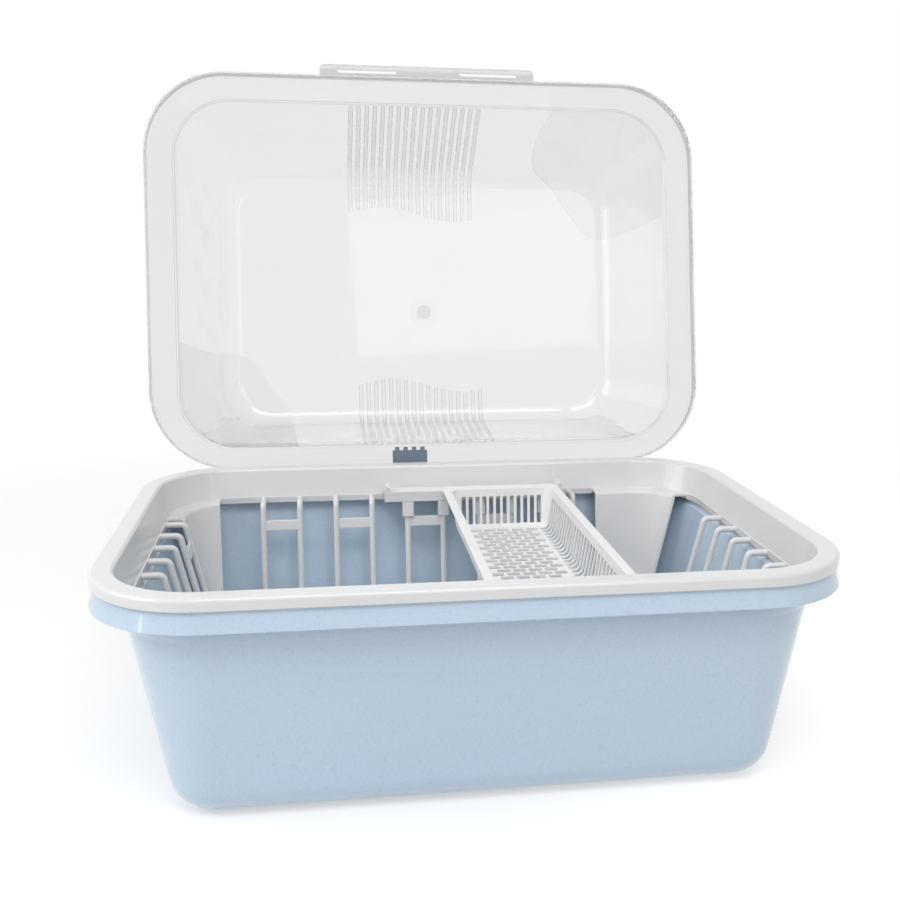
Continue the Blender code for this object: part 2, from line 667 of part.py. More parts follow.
def make_cutlery_basket():
    """The slotted cutlery basket, hung by its flat rim on the two rails."""
    rim = (CUTLERY_RIM_WIDTH / 2, CUTLERY_RIM_LENGTH / 2, CUTLERY_RIM_CORNER)
    low, outer_fillet = CUTLERY_FLOOR - WALL, CUTLERY_FILLET + WALL
    rings = floor_fillet(cutlery_outside, low, outer_fillet, steps=SMALL_BEND_STEPS)
    rings += [ring(cutlery_outside(CUTLERY_RIM_LOW), CUTLERY_RIM_LOW)]
    rings += [ring(rim, CUTLERY_RIM_LOW), ring(rim, CUTLERY_RIM_TOP - WALL / 3)]
    rings += [ring(shrunk(rim, WALL / 3), CUTLERY_RIM_TOP)]
    rings += [ring(cutlery_inside(CUTLERY_RIM_TOP), CUTLERY_RIM_TOP)]
    inner = floor_fillet(cutlery_inside, CUTLERY_FLOOR, CUTLERY_FILLET, steps=SMALL_BEND_STEPS)
    basket = solid("cutlery_basket", [rings + inner[::-1]])
    combine(basket, cutlery_slots(), "DIFFERENCE")
    combine(basket, floor_bricks(), "DIFFERENCE")
    finish(basket, plastic("cutlery_white", (0.84, 0.84, 0.84), 0.30))
    basket.location.x = CUTLERY_X
    return basket


def dome_outline(height):
    """The cover's outer wall, from the flange up to its flat top."""
    low = drawn_in(DOME_END_INSET, DOME_SIDE_INSET, DOME_CORNER)
    high = drawn_in(PANEL_END_INSET, PANEL_SIDE_INSET, PANEL_CORNER)
    return between(low, high, (height - LID_HIGH) / DOME_HEIGHT)


def dome_middle(height):
    """The cover's top sits nearer the hinge than its flange does."""
    return DOME_Y + (PANEL_Y - DOME_Y) * (height - LID_HIGH) / DOME_HEIGHT


def dome_inside(height):
    return shrunk(dome_outline(height + WALL), WALL)


def dome_inside_middle(height):
    return dome_middle(height + WALL)


def lid_shell():
    """The cover's skin, from its top down over the flange and lip and back up inside."""
    edge = (RIM_LENGTH / 2 + GAP + WALL, RIM_WIDTH / 2 + GAP + WALL, LID_CORNER)
    lip_low = LID_LOW - LID_LIP
    top = LID_HIGH + DOME_HEIGHT
    step_top = LID_HIGH + STEP_HEIGHT
    foot = dome_outline(LID_HIGH)
    rings = floor_fillet(dome_outline, top, DOME_FILLET, dome_middle, up=-1)
    rings += [ring(dome_outline(step_top), step_top, dome_middle(step_top))]
    rings += [ring(shrunk(foot, -STEP_WIDTH), step_top, DOME_Y)]
    rings += [ring(shrunk(foot, -STEP_WIDTH), LID_HIGH, DOME_Y)]
    rings += [ring(shrunk(edge, LID_ROUNDING), LID_HIGH), ring(edge, LID_HIGH - LID_ROUNDING)]
    rings += [ring(edge, lip_low), ring(shrunk(edge, WALL), lip_low), ring(shrunk(edge, WALL), LID_LOW)]
    rings += [ring(shrunk(foot, WALL - STEP_WIDTH), LID_LOW, DOME_Y)]
    rings += [ring(shrunk(foot, WALL - STEP_WIDTH), LID_LOW + STEP_HEIGHT, DOME_Y)]
    rings += [ring(dome_inside(LID_LOW + STEP_HEIGHT), LID_LOW + STEP_HEIGHT, DOME_Y)]
    inner_fillet = DOME_FILLET - WALL
    rings += reversed(floor_fillet(dome_inside, top - WALL, inner_fillet, dome_inside_middle, up=-1))
    return solid("lid", [rings])


def lid_section(share):
    """A place on the cover's outer skin in the middle of its length: 0 at the flange, 1 at the top."""
    height = LID_HIGH + DOME_HEIGHT * share
    return height, dome_outline(height)[1], dome_middle(height)


def grip_rib(x, side, reach):
    """A low rib that climbs the cover's outer wall and runs a little way on to its top."""
    low, low_half, low_middle = lid_section(0.035)
    high, high_half, high_middle = lid_section(1 - DOME_FILLET / DOME_HEIGHT)
    top = LID_HIGH + DOME_HEIGHT
    edge_middle, edge_half = dome_middle(top), dome_outline(top)[1]
    bend_half = edge_half - DOME_FILLET
    round_half = edge_half - DOME_FILLET * 0.3
    path = (
        (low_middle + side * low_half, low),
        (high_middle + side * high_half, high),
        (edge_middle + side * round_half, top - DOME_FILLET * 0.3),
        (edge_middle + side * bend_half, top),
        (edge_middle + side * (bend_half - reach), top),
    )
    points = [Vector((x, y, z)) for y, z in path]
    rings = []
    for i, point in enumerate(points):
        along = (points[min(i + 1, len(points) - 1)] - points[max(i - 1, 0)]).normalized()
        out = along.cross(Vector((1, 0, 0)))
        out = out if out.z > 0 else -out
        half = Vector((GRIP_RIB_WIDTH / 2, 0, 0))
        ridge = Vector((GRIP_RIB_WIDTH / 3, 0, 0))
        deep, high_out = -out * WALL / 2, out * GRIP_RIB_HEIGHT
        corners = (deep - half, deep + half, high_out + ridge, high_out - ridge)
        rings.append([point + corner for corner in corners])
    return rings


def grip_ribs():
    """Two fields of ribs, on the front and on the rear of the cover, with wavy ends on its top."""
    ribs = []
    for i in range(GRIP_RIBS):
        x = (i - (GRIP_RIBS - 1) / 2) * GRIP_RIB_PITCH
        wave = GRIP_WAVE * math.sin(math.tau * GRIP_WAVES * i / GRIP_RIBS)
        ribs.append(grip_rib(FRONT_GRIP_X + x, -1, FRONT_GRIP_REACH - wave))
        ribs.append(grip_rib(REAR_GRIP_X + x, 1, REAR_GRIP_REACH + wave))
    return ribs


def lid_tab():
    """The thumb tab on the cover's front edge."""
    half = (TAB_DEPTH + TAB_ROOT) / 2
    middle = Vector((TAB_X, TAB_ROOT / 2 - TAB_DEPTH / 2 - RIM_WIDTH / 2 - GAP - WALL, 0))
    outline = (TAB_LENGTH / 2, half, TAB_CORNER)
    high = LID_HIGH - TAB_DROP
    return [[middle + point for point in ring(outline, z)] for z in (high - TAB_THICKNESS, high)]


def tab_slots():
    middle = -RIM_WIDTH / 2 - GAP - WALL - TAB_DEPTH / 2
    deep = (LID_LOW - 2 * WALL, LID_HIGH + WALL)
    across = about(middle, TAB_SLOT_WIDTH)
    places = (TAB_X - TAB_SLOT_X, TAB_X + TAB_SLOT_X)
    return [block(about(x, TAB_SLOT_LENGTH), across, deep) for x in places]


def clip_places():
    return [CLIP_X + (i - (HOOKS - 1) / 2) * HOOK_PITCH for i in range(HOOKS)]


def clip_plate(grow=0.0):
    """The clip's plate, or the notch for it when it is grown by the gap round it."""
    front, back = HINGE.y - CLIP_EDGE - CLIP_DEPTH - grow, HINGE.y - CLIP_EDGE + grow
    high = (LID_LOW - grow, LID_HIGH + grow)
    return block(about(CLIP_X, CLIP_WIDTH + 2 * grow), (front, back), high)


def clip_prongs(grow=0.0):
    """Four teeth on the plate's inner edge."""
    front = HINGE.y - CLIP_EDGE - CLIP_DEPTH
    reach = (front - PRONG_LENGTH - grow, front + WALL)
    high = (LID_LOW - grow, LID_HIGH + grow)
    return [block(about(x, HOOK_WIDTH + 2 * grow), reach, high) for x in clip_places()]


def lid_notches():
    """Room in the cover's flange for the clip, and in its lip for the hinge lugs."""
    lip = RIM_WIDTH / 2
    width = CLIP_WIDTH + 2 * (LUG_WIDTH + GAP + LOOSE_FIT)
    deep = (LID_LOW - LID_LIP - WALL, LID_HIGH + WALL)
    return [block(about(CLIP_X, width), (lip, lip + 2 * HINGE_BEHIND), deep)]


def make_lid():
    """The clear cover, turned open about its hinge."""
    lid = lid_shell()
    combine(lid, grip_ribs(), "UNION")
    combine(lid, [lid_tab()], "UNION")
    gate_low = LID_HIGH + DOME_HEIGHT - WALL - GATE_HEIGHT
    gate_path = [Vector((GATE_X, GATE_Y, z)) for z in (gate_low, gate_low + WALL)]
    combine(lid, [rod(gate_path, Vector((1, 0, 0)), GATE_RADIUS, GATE_SIDES)], "UNION")
    combine(lid, tab_slots(), "DIFFERENCE")
    combine(lid, lid_notches(), "DIFFERENCE")
    combine(lid, [clip_plate(GAP)], "DIFFERENCE")
    combine(lid, clip_prongs(GAP), "DIFFERENCE")
    finish(lid, plastic("lid_clear", (0.90, 0.90, 0.92), 0.08, alpha=0.35), HINGE)
    lid.rotation_euler.x = -OPEN_ANGLE
    return lid


def hook(x):
    """A hook that comes down from the clip's plate and wraps round the hinge pin."""
    inner = PIN_RADIUS + GAP
    outer = inner + HOOK_THICKNESS
    section = [(-CLIP_EDGE - 2 * WALL, LID_HIGH - HINGE.z), (-CLIP_EDGE - 2 * WALL, LID_LOW - HINGE.z)]
    section.append((outer * math.cos(math.radians(125)), LID_LOW - HINGE.z))
    section += [arc_point(outer, 125 + 165 * step / 8) for step in range(9)]
    section += [arc_point(inner, 290 - 270 * step / 12) for step in range(13)]
    section += [arc_point(outer, 20 + 42 * step / 2) for step in range(3)]
    section += [(outer * math.cos(math.radians(62)), LID_HIGH - HINGE.z - WALL / 2)]
    section += [(outer * math.cos(math.radians(62)) - WALL / 2, LID_HIGH - HINGE.z)]
    return [[HINGE + Vector((side, y, z)) for y, z in section] for side in about(x, HOOK_WIDTH)]


def arc_point(radius, degrees):
    return radius * math.cos(math.radians(degrees)), radius * math.sin(math.radians(degrees))


def make_hinge_clip():
    """The slate clip that holds the cover to the hinge pin."""
    clip = solid("hinge_clip", [clip_plate()])
    combine(clip, clip_prongs(), "UNION")
    combine(clip, [hook(x) for x in clip_places()], "UNION")
    finish(clip, plastic("clip_slate", (0.16, 0.20, 0.27), 0.45), HINGE)
    clip.rotation_euler.x = -OPEN_ANGLE
    return clip


def main():
    clear_scene()
    make_tub()
    make_drainer_basket()
    make_bracket("rear_basket_bracket", REAR)
    make_bracket("front_basket_bracket", FRONT)
    make_cutlery_basket()
    make_lid()
    make_hinge_clip()
    bpy.context.view_layer.update()


main()
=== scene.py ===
"""A covered dish drainer: a blue tub, a white drainer basket with ribbed windows, two cross rails, a
cutlery basket, and a clear cover that stands open on a slate clip.

X runs along the length, Y away from the viewer and Z up, in metres. The origin is the middle of the
tub's foot. An inset is a distance in from the rim's outline. An outline is half a length, half a
width and the radius of the corners.
"""

import math

import bmesh
import bpy
from mathutils import Matrix, Vector


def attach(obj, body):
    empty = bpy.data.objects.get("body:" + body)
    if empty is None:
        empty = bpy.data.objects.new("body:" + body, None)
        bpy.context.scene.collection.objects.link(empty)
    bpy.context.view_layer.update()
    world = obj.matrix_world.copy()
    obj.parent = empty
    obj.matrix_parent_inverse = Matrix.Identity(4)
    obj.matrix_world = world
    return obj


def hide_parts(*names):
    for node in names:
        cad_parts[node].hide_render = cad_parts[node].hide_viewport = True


bl_info = {
    "name": "Covered dish drainer",
    "version": (1, 0, 0),
    "blender": (4, 5, 0),
    "location": "3D View > Sidebar > Drainer",
    "description": "Builds a covered dish drainer piece by piece",
    "category": "Add Mesh",
}

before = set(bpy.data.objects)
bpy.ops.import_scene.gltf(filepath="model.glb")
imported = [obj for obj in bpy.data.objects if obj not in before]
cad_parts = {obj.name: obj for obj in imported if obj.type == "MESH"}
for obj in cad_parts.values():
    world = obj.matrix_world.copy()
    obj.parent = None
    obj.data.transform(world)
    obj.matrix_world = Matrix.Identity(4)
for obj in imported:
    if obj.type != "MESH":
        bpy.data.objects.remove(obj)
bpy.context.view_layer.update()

# Shared by every moulding
WALL = 0.0018
GAP = 0.0003
LOOSE_FIT = 0.0009
LEAST_CORNER = 0.003
RIM = (0.250, 0.1751, 0.074)
REAR, FRONT, RIGHT, LEFT = (0, 1), (0, -1), (1, 0), (-1, 0)

# Tub
FOOT = (0.2010, 0.1418, 0.026)
FOOT_FILLET = 0.0216
TUB_WALL_TOP = 0.127
TUB_WALL_TOP_OUTLINE = (0.2275, 0.16145, 0.057)
FLARE_TOP = 0.145
SKIRT_LOW = 0.139
SKIRT_SHOULDER = 0.1525
TUB_TOP = 0.1592
TUB_RIM_ROUNDING = WALL * 0.8
SKIRT_STEPS = 4
SKIRT_BOW = 1.25

# Drainer basket
LIP_INSET = 0.0010
LIP_LOW = 0.1528
RIM_ROUNDING = 0.0030
RIM_INNER_INSET = 0.0165
BAND_LOW_INSET = 0.0225
SHOULDER_TOP = 0.1375
SHOULDER_WIDTH = 0.0100
SHOULDER_ROUNDING = 0.0040
RIDGE_INSET = 0.0215
RIDGE_THICKNESS = 0.0030
RIDGE_LOW = 0.1325
DRAINER_FLOOR = 0.022
DRAINER_FLOOR_OUTLINE = (0.1867, 0.1208, 0.024)
DRAINER_FILLET = 0.012
WINDOW_LOW = 0.040
WINDOW_HIGH = 0.139
WINDOW_INSET = 0.0234
WINDOW_DEPTH = 0.075
WINDOW_CORNER = 0.004
WINDOW_CORNER_STEPS = 4
LONG_WINDOW = (-0.190, 0.142)
RIGHT_WINDOW = (-0.095, 0.120)
LEFT_WINDOW = (-0.108, 0.088)
LONG_WINDOW_TAPER = 0.002
END_WINDOW_TAPER = 0.006
RIB_ROOT_INSET = 0.0222
RIB_BEND_INSET = 0.0345
RIB_FACE_INSET = 0.0385
RIB_BEND_DROP = 0.0045
RIB_BEND_STEPS = 6
RIB_LOW = 0.036
# Rows of ribs: the first place, the pitch and the count
LEFT_RIBS = (-0.1534, 0.0312, 6)
RIGHT_RIBS = (0.0350, 0.0285, 4)
END_RIBS = (0.0480, -0.0320, 5)
CROSSBAR_LOW = 0.1125
CROSSBAR_HEIGHT = 0.0085
CROSSBAR_THICKNESS = 0.0030
DRAIN_SLOT = (0.052, 0.007)
DRAIN_SLOT_PITCH = (0.066, 0.021)
DRAIN_SLOT_COUNT = (5, 10)

# Cross rails
RAIL_ENDS = (-0.049, 0.1103)
RAIL_INSET = 0.028
RAIL_FRONT_INSET = 0.0440
RAIL_TOP = 0.144
RAIL_LIP_LOW = 0.1352
RAIL_STOP_HEIGHT = 0.0042
RAIL_STOP_WIDTH = 0.0050
LEG_WIDTH = 0.0095
LEG_LOW = 0.122
LEG_CLEARANCE = 0.0006

# Cutlery basket
CUTLERY_X = 0.05325
CUTLERY_WALL = 0.0013
CUTLERY_RIM = (0.05175, 0.1380, 0.011)
CUTLERY_RIM_ROUNDING = WALL * 0.45
CUTLERY_MOUTH_BREAK = 0.3
CUTLERY_MOUTH = (0.0455, 0.1268, 0.009)
CUTLERY_FLOOR_OUTLINE = (0.0405, 0.1228, 0.008)
CUTLERY_FLOOR = 0.1125
CUTLERY_FILLET = 0.004
SIDE_SLOTS = 27
SIDE_SLOT_PITCH = 0.0085
SIDE_SLOT_WIDTH = 0.0057
SIDE_SLOT_START = 0.0330
END_SLOTS = 12
END_SLOT_PITCH = 0.0061
END_SLOT_WIDTH = 0.0038
SLOT_TOP_MARGIN = 0.0048
END_SLOT_LOW_MARGIN = 0.0025
WALL_SLOT_ROUNDNESS = 0.5
BRICKS_ACROSS = 5
BRICK_PITCH = 0.0124
BRICK_LENGTH = 0.0102
BRICK_WIDTH = 0.0066
BRICK_ROUNDNESS = 0.25

# Hinge. Angles round its pin are in degrees, with 0 to the back and 90 up
HINGE = Vector((0, 0.1796, 0.1547))
OPEN_ANGLE = math.radians(101.9)
CLIP_X = -0.022
CLIP_WIDTH = 0.032
PIN_RADIUS = 0.0018
LUG_WIDTH = 0.0040
LUG_RADIUS = 0.0032
LUG_TURNS = (-120, 90, 14)
HOOKS = 4
HOOK_PITCH = 0.0078
HOOK_WIDTH = 0.0042
HOOK_THICKNESS = 0.0018
HOOK_ROOT_FRONT = 125
HOOK_TIP = 290
HOOK_HEEL = 20
HOOK_ROOT_BACK = 62
HOOK_STEPS = (14, 22, 4)
CLIP_DEPTH = 0.0145
CLIP_EDGE = 0.0015
PRONG_LENGTH = 0.0030

# Cover, as it lies closed
LID_CORNER = 0.0715
LID_LIP = 0.0086
LID_ROUNDING = 0.0015
DOME = (0.2260, 0.1551, 0.0494)
DOME_Y = 0.0021
DOME_HEIGHT = 0.0750
DOME_FILLET = 0.012
PANEL = (0.1870, 0.1205, 0.040)
PANEL_Y = 0.0141
STEP_WIDTH = 0.0030
STEP_HEIGHT = 0.0012
STEP_SLANT = WALL * 1.7
FLAT_FACE = 0.9
TAB = (0.099, 0.0067, 0.004)
TAB_X = 0.0024
TAB_DEPTH = 0.0122
TAB_THICKNESS = 0.0022
TAB_ROUNDING = TAB_THICKNESS * 0.4
TAB_DROP = 0.0003
TAB_ROOT = 0.0012
TAB_SLOT = (0.054, 0.0030)
TAB_SLOT_X = 0.056
LIP_NOTCH_DEPTH = 0.009
GRIP_RIB_PITCH = 0.0074
GRIP_RIB_RADIUS = 0.0022
GRIP_RIB_SINK = 0.0008
GRIP_RIB_HEIGHT = 0.0009
GRIP_RIB_SIDES = 14
GRIP_BEND_STEPS = 8
FRONT_GRIP_X = -0.0100
REAR_GRIP_X = -0.0035
FRONT_GRIP_REACH = 0.0365
REAR_GRIP_REACH = 0.0351
GRIP_WAVE = 0.0070
GRIP_WAVES = 0.9
GRIP_WAVE_STEPS = 32
GATE = Vector((0.0007, 0.0276, 0))
GATE_RADIUS = 0.0070
GATE_HEIGHT = 0.0006
GATE_RING = 0.0135
GATE_RING_HEIGHT = GATE_HEIGHT * 0.4
GATE_SIDES = 48
GATE_BREAK = (0.3, 0.4)

# The wavy edges of the cover's two frosted corners, seen from above, in millimetres
FRONT_PATCH = ((126, -162), (111, -138), (112, -116), (134, -97))
FRONT_PATCH += ((152, -70), (172, -49), (198, -48), (236, -60))
REAR_PATCH = ((-240, 58), (-206, 68), (-176, 69), (-160, 83))
REAR_PATCH += ((-148, 103), (-134, 119), (-129, 138), (-121, 164))

# Slots: how round full ends are, the steps of a corner, and how a slot's axes lie along X, Y or Z
ROUND_ENDS = 0.98
SLOT_CORNER_STEPS = 3
SLOT_AXES = {"x": (2, 0, 1), "y": (0, 2, 1), "z": (0, 1, 2)}

# What follows from those sizes
MOUTH_INSET = RIM_INNER_INSET - WALL - LOOSE_FIT
SKIRT_INSET = LIP_INSET + WALL + GAP
RIM_TOP = TUB_TOP + GAP + WALL
LOWER_WALL_INSET = BAND_LOW_INSET + SHOULDER_WIDTH + SHOULDER_ROUNDING
LOWER_WALL_TOP = SHOULDER_TOP - SHOULDER_ROUNDING
RAIL_LOW = SHOULDER_TOP + GAP
CUTLERY_RIM_LOW = RAIL_TOP + GAP
CUTLERY_RIM_TOP = CUTLERY_RIM_LOW + WALL
LID_LOW = RIM_TOP + GAP
LID_HIGH = LID_LOW + WALL
PANEL_TOP = LID_HIGH + DOME_HEIGHT

# The photograph's camera
CAMERA_PLACE = Vector((-0.10185, -0.78654, 0.37818))
CAMERA_YAW = 0.158
CAMERA_PITCH = 0.213
CAMERA_ROLL = 0.011
CAMERA_LENS = 43.28
SENSOR_WIDTH = 36
NEAR_CLIP = 0.01
CAMERA_SHIFT = (-0.0454, 0.0032)

# Lamps: the name, the place, the target, the width, the height and the power
LAMPS = (
    ("front_top_lamp", (0.0, -1.1, 1.75), (0, 0, 0.1), 1.2, 0.8, 13.5),
    ("left_lamp", (-1.6, -0.2, 1.0), (0, 0, 0.1), 1.0, 1.0, 9),
    ("key_lamp", (-1.25, -0.75, 1.25), (0, 0, 0.1), 0.22, 0.22, 2),
    ("panel_lamp", (0.32, -1.3, 0.94), (0.05, 0.3, 0.32), 0.68, 0.40, 1.3),
    ("left_strip", (-1.3, -0.75, 0.6), (0, 0, 0.15), 0.06, 1.0, 1.4),
    ("right_strip", (1.0, -1.3, 0.75), (0, 0, 0.15), 0.07, 0.9, 0.8),
)
SKY_STRENGTHS = (0.02, 0.75)
BACKDROP_STRENGTH = 1.0

# Table: its reach and heights, and how its glow, where it is seen, evens it out with the backdrop
TABLE_REACH = 6
TABLE_HEIGHTS = (-0.02, -0.0004)
TABLE_MOTTLE_SCALE = 3
TABLE_ROUGHNESS = 0.6
SEEN_TONE = 0.6
FAR_RANGE = (0.5, 1.1)
NEAR_GLOW = (0, 0.35, 0.49, 0.67)
FAR_GLOW = 1.0
WHITE = (1.0, 1.0, 1.0, 1.0)
BLACK = (0.0, 0.0, 0.0, 1.0)

# Moulded plastics. Colour names one of the colour properties, here and below
MOULDED = {
    "speckled_blue": dict(colour="tub", roughness=0.20, mottle=0.012, grain=0.03, specks=0.09, gloss=0.5),
    "basket_white": dict(colour="basket", roughness=0.20, mottle=0.006, grain=0.02, gloss=0.25),
    "rail_white": dict(colour="rail", roughness=0.20, mottle=0.006, grain=0.02),
    "cutlery_white": dict(colour="cutlery", roughness=0.22, mottle=0.006, grain=0.03),
    "slate": dict(colour="clip", roughness=0.45, mottle=0.05, grain=0.12, specks=0.10),
}

# The cover's clear plastics. Edge is the painted shade of a face that turns away from the camera, and
# turned gives how far it has turned where that painted shade begins and where it is full. The flange,
# lip and ribbed finishes are darker greys of painted shade
CLEAR = {
    "clear": dict(colour="cover", edge=0.35, turned=(0.6, 1), roughness=0.05, wave=0.26, solidity=0.55),
    "frosted": dict(colour="frost", edge=0.60, turned=(0.5, 1), roughness=0.50, wave=0.12, solidity=0.74),
    "ribbed": dict(colour="ribs", edge=0.42, turned=(0.05, 0.45), roughness=0.08, wave=0.10, solidity=0.72),
    "lip": dict(colour="lip", edge=0.12, turned=(0.35, 0.9), roughness=0.06, wave=0.05, solidity=0.76),
    "flange": dict(colour="flange", edge=0.30, turned=(0.6, 1), roughness=0.05, wave=0.12, solidity=0.56),
}
COVER_FINISHES = tuple(CLEAR)

# Patterns in the plastics: noise scales for a metre, depths in metres, and where specks begin and
# are full. A span is the part of a noise's values that is spread over the whole range
WIDE_SPAN = (0.1, 0.9)
MIDDLE_SPAN = (0.2, 0.8)
NARROW_SPAN = (0.3, 0.7)
MOTTLE_SCALE = 12
DARK_SPECKS = (620, 0.56, 0.72)
PALE_SPECKS = (410, 0.60, 0.76)
UNEVEN_SCALE = 18
UNEVENNESS = 0.02
GRAIN_SCALE = 1500
GRAIN_DEPTH = 0.0002
MOULDED_IOR = 1.50
GLOSS_ROUGHNESS = 0.06
HAZE_SCALE = 9
HAZE_TONES = (0.975, 1.02)
SMEAR_SCALE = 40
SMEAR_SHARES = (0.7, 1.4)
WAVE_SCALE = 21
WAVE_DEPTH = 0.01
RIPPLE_SCALE = 900
RIPPLE_SHARE = 0.0003
CLEAR_IOR = 1.15
CLEAR_GLOSS_ROUGHNESS = 0.03


class DrainerSettings(bpy.types.PropertyGroup):
    """Smoothness and small sizes that the frame doesn't fix."""

    corner_steps: bpy.props.IntProperty(
        name="Corner steps", description="Steps round each upright corner", default=20, min=6, max=48
    )
    bend_steps: bpy.props.IntProperty(
        name="Bend steps", description="Steps round each rounded edge", default=7, min=2, max=16
    )
    rib_radius: bpy.props.FloatProperty(
        name="Rib radius", description="Radius of the window ribs", default=0.0025, unit="LENGTH"
    )
    edge: bpy.props.FloatProperty(
        name="Edge rounding", description="Rounding of moulded edges", default=0.0004, unit="LENGTH"
    )
    grip_ribs: bpy.props.IntProperty(
        name="Grip ribs", description="Ribs in each field on the cover", default=17, min=3, max=40
    )
    frost_height: bpy.props.FloatProperty(
        name="Frost height", description="How far a frosted corner stands out", default=0.0010, unit="LENGTH"
    )


def colour_property(name, description, default):
    return bpy.props.FloatVectorProperty(
        name=name, description=description, default=default, subtype="COLOR", size=3, min=0, max=1
    )


class DrainerColours(bpy.types.PropertyGroup):
    """The colour of each plastic and of the table top."""

    tub: colour_property("Tub", "Pale blue of the tub", (0.52, 0.645, 0.775))
    basket: colour_property("Basket", "White of the drainer basket", (0.735, 0.735, 0.74))
    rail: colour_property("Rails", "White of the cross rails", (0.775, 0.775, 0.77))
    cutlery: colour_property("Cutlery basket", "White of the cutlery basket", (0.775, 0.775, 0.775))
    cover: colour_property("Cover", "Tint of the clear cover", (0.69, 0.69, 0.70))
    # Painted shade: the flange, the lip with its step and tab, and the grip ribs are the cover's own clear
    # plastic, given darker greys for the shade that light through and off them shows
    flange: colour_property("Flange", "Tint of the cover's flange", (0.6417, 0.6417, 0.651))
    lip: colour_property("Lip", "Tint of the cover's lip, step and tab", (0.47, 0.467, 0.495))
    ribs: colour_property("Grip ribs", "Tint of the cover's grip ribs", (0.6348, 0.6348, 0.644))
    frost: colour_property("Frosted corners", "Tint of the frosted corners", (0.66, 0.66, 0.67))
    clip: colour_property("Clip", "Slate of the hinge clip", (0.16, 0.20, 0.27))
    table: colour_property("Table", "Pale table top", (0.88, 0.88, 0.88))


def settings():
    return bpy.context.scene.drainer_settings


def colours():
    return bpy.context.scene.drainer_colours


# Outlines and rings


def shrunk(outline, inset):
    """The outline drawn in all round by a distance."""
    half_x, half_y, corner = outline
    return half_x - inset, half_y - inset, max(corner - inset, LEAST_CORNER)


def between(first, second, share):
    return tuple(a + (b - a) * share for a, b in zip(first, second))


def turns(start, end, steps):
    """Even steps from one angle to another, given in degrees, with both ends kept."""
    return [math.radians(start + (end - start) * step / steps) for step in range(steps + 1)]


def arc(radius, start, end, steps):
    """Points round the origin, from one angle in degrees to another."""
    return [(radius * math.cos(turn), radius * math.sin(turn)) for turn in turns(start, end, steps)]


def rounded_rectangle(half_x, half_y, corner, steps):
    """The points of a rectangle with rounded corners, walked once round."""
    points = []
    for quarter, (side_x, side_y) in enumerate(((1, 1), (-1, 1), (-1, -1), (1, -1))):
        for step in range(steps + 1):
            turn = math.radians(90) * (quarter + step / steps)
            x = side_x * (half_x - corner) + corner * math.cos(turn)
            y = side_y * (half_y - corner) + corner * math.sin(turn)
            points.append((x, y))
    return points


def ring(outline, height, middle=(0.0, 0.0)):
    """The outline laid level at a height."""
    points = rounded_rectangle(*outline, settings().corner_steps)
    return [Vector((middle[0] + x, middle[1] + y, height)) for x, y in points]


def rim_ring(inset, height):
    return ring(shrunk(RIM, inset), height)


def edge_bend(outline, height, radius, start, end, middle=(0.0, 0.0)):
    """Rings round an edge whose outermost line is the outline. 0 degrees faces out and 90 up."""
    return [
        ring(shrunk(outline, radius - radius * math.cos(turn)), height + radius * math.sin(turn), middle)
        for turn in turns(start, end, settings().bend_steps)
    ]


def bend(inset, height, radius, start, end):
    """Rings round a bend in the rim's section, about a centre that far in and up."""
    return edge_bend(shrunk(RIM, inset - radius), height, radius, start, end)


def floor_fillet(outline_at, floor, radius, middle_at=lambda height: 0.0, up=1):
    """Rings from the flat of a floor, or of a roof when up is -1, round into its leaning wall."""
    rings = []
    for turn in turns(0, 90, settings().bend_steps):
        height = floor + up * radius * (1 - math.cos(turn))
        outline = shrunk(outline_at(height), radius * (1 - math.sin(turn)))
        rings.append(ring(outline, height, (0.0, middle_at(height))))
    return rings


# Meshes


def link(name, mesh):
    thing = bpy.data.objects.new(name, mesh)
    bpy.context.scene.collection.objects.link(thing)
    return thing


def discard(thing):
    mesh = thing.data
    bpy.data.objects.remove(thing, do_unlink=True)
    if mesh.users == 0:
        bpy.data.meshes.remove(mesh)


def solid(name, bodies):
    """One mesh of closed bodies. Each body is a stack of rings with its first and last ring filled."""
    shape = bmesh.new()
    for rings in bodies:
        levels = [[shape.verts.new(point) for point in level] for level in rings]
        for low, high in zip(levels, levels[1:]):
            for i in range(len(low)):
                j = (i + 1) % len(low)
                shape.faces.new((low[i], low[j], high[j], high[i]))
        shape.faces.new(levels[0])
        shape.faces.new(levels[-1])
    bmesh.ops.recalc_face_normals(shape, faces=shape.faces)
    mesh = bpy.data.meshes.new(name)
    shape.to_mesh(mesh)
    shape.free()
    return link(name, mesh)


def wire(name, points):
    """An open path of straight edges, for a rod to follow."""
    mesh = bpy.data.meshes.new(name)
    mesh.from_pydata(points, [(i, i + 1) for i in range(len(points) - 1)], [])
    return link(name, mesh)


def applied(thing):
    """The object with its modifiers' result as its own mesh."""
    graph = bpy.context.evaluated_depsgraph_get()
    mesh = bpy.data.meshes.new_from_object(thing.evaluated_get(graph))
    old = thing.data
    thing.modifiers.clear()
    thing.data = mesh
    bpy.data.meshes.remove(old)
    return thing


def combine(body, tool, operation):
    """Joins the tool to this body, cuts it out of it, or keeps what both hold. The tool is used up."""
    step = body.modifiers.new("combine", "BOOLEAN")
    step.object = tool
    step.operation = operation
    step.solver = "MANIFOLD"
    applied(body)
    discard(tool)
    if not body.data.polygons:
        raise RuntimeError(f"{operation} left nothing of {body.name}")
    return body


def block(x_range, y_range, z_range):
    """A body with square corners between two places on each axis."""
    corners = [(x_range[0], y_range[0]), (x_range[1], y_range[0])]
    corners += [(x_range[1], y_range[1]), (x_range[0], y_range[1])]
    return [[Vector((x, y, z)) for x, y in corners] for z in z_range]


def about(middle, width):
    return middle - width / 2, middle + width / 2


def on_wall(wall, along, inset, height):
    """The place that far along a wall, in from the outline, and up."""
    if wall[0]:
        return Vector((wall[0] * (RIM[0] - inset), along, height))
    return Vector((along, wall[1] * (RIM[1] - inset), height))


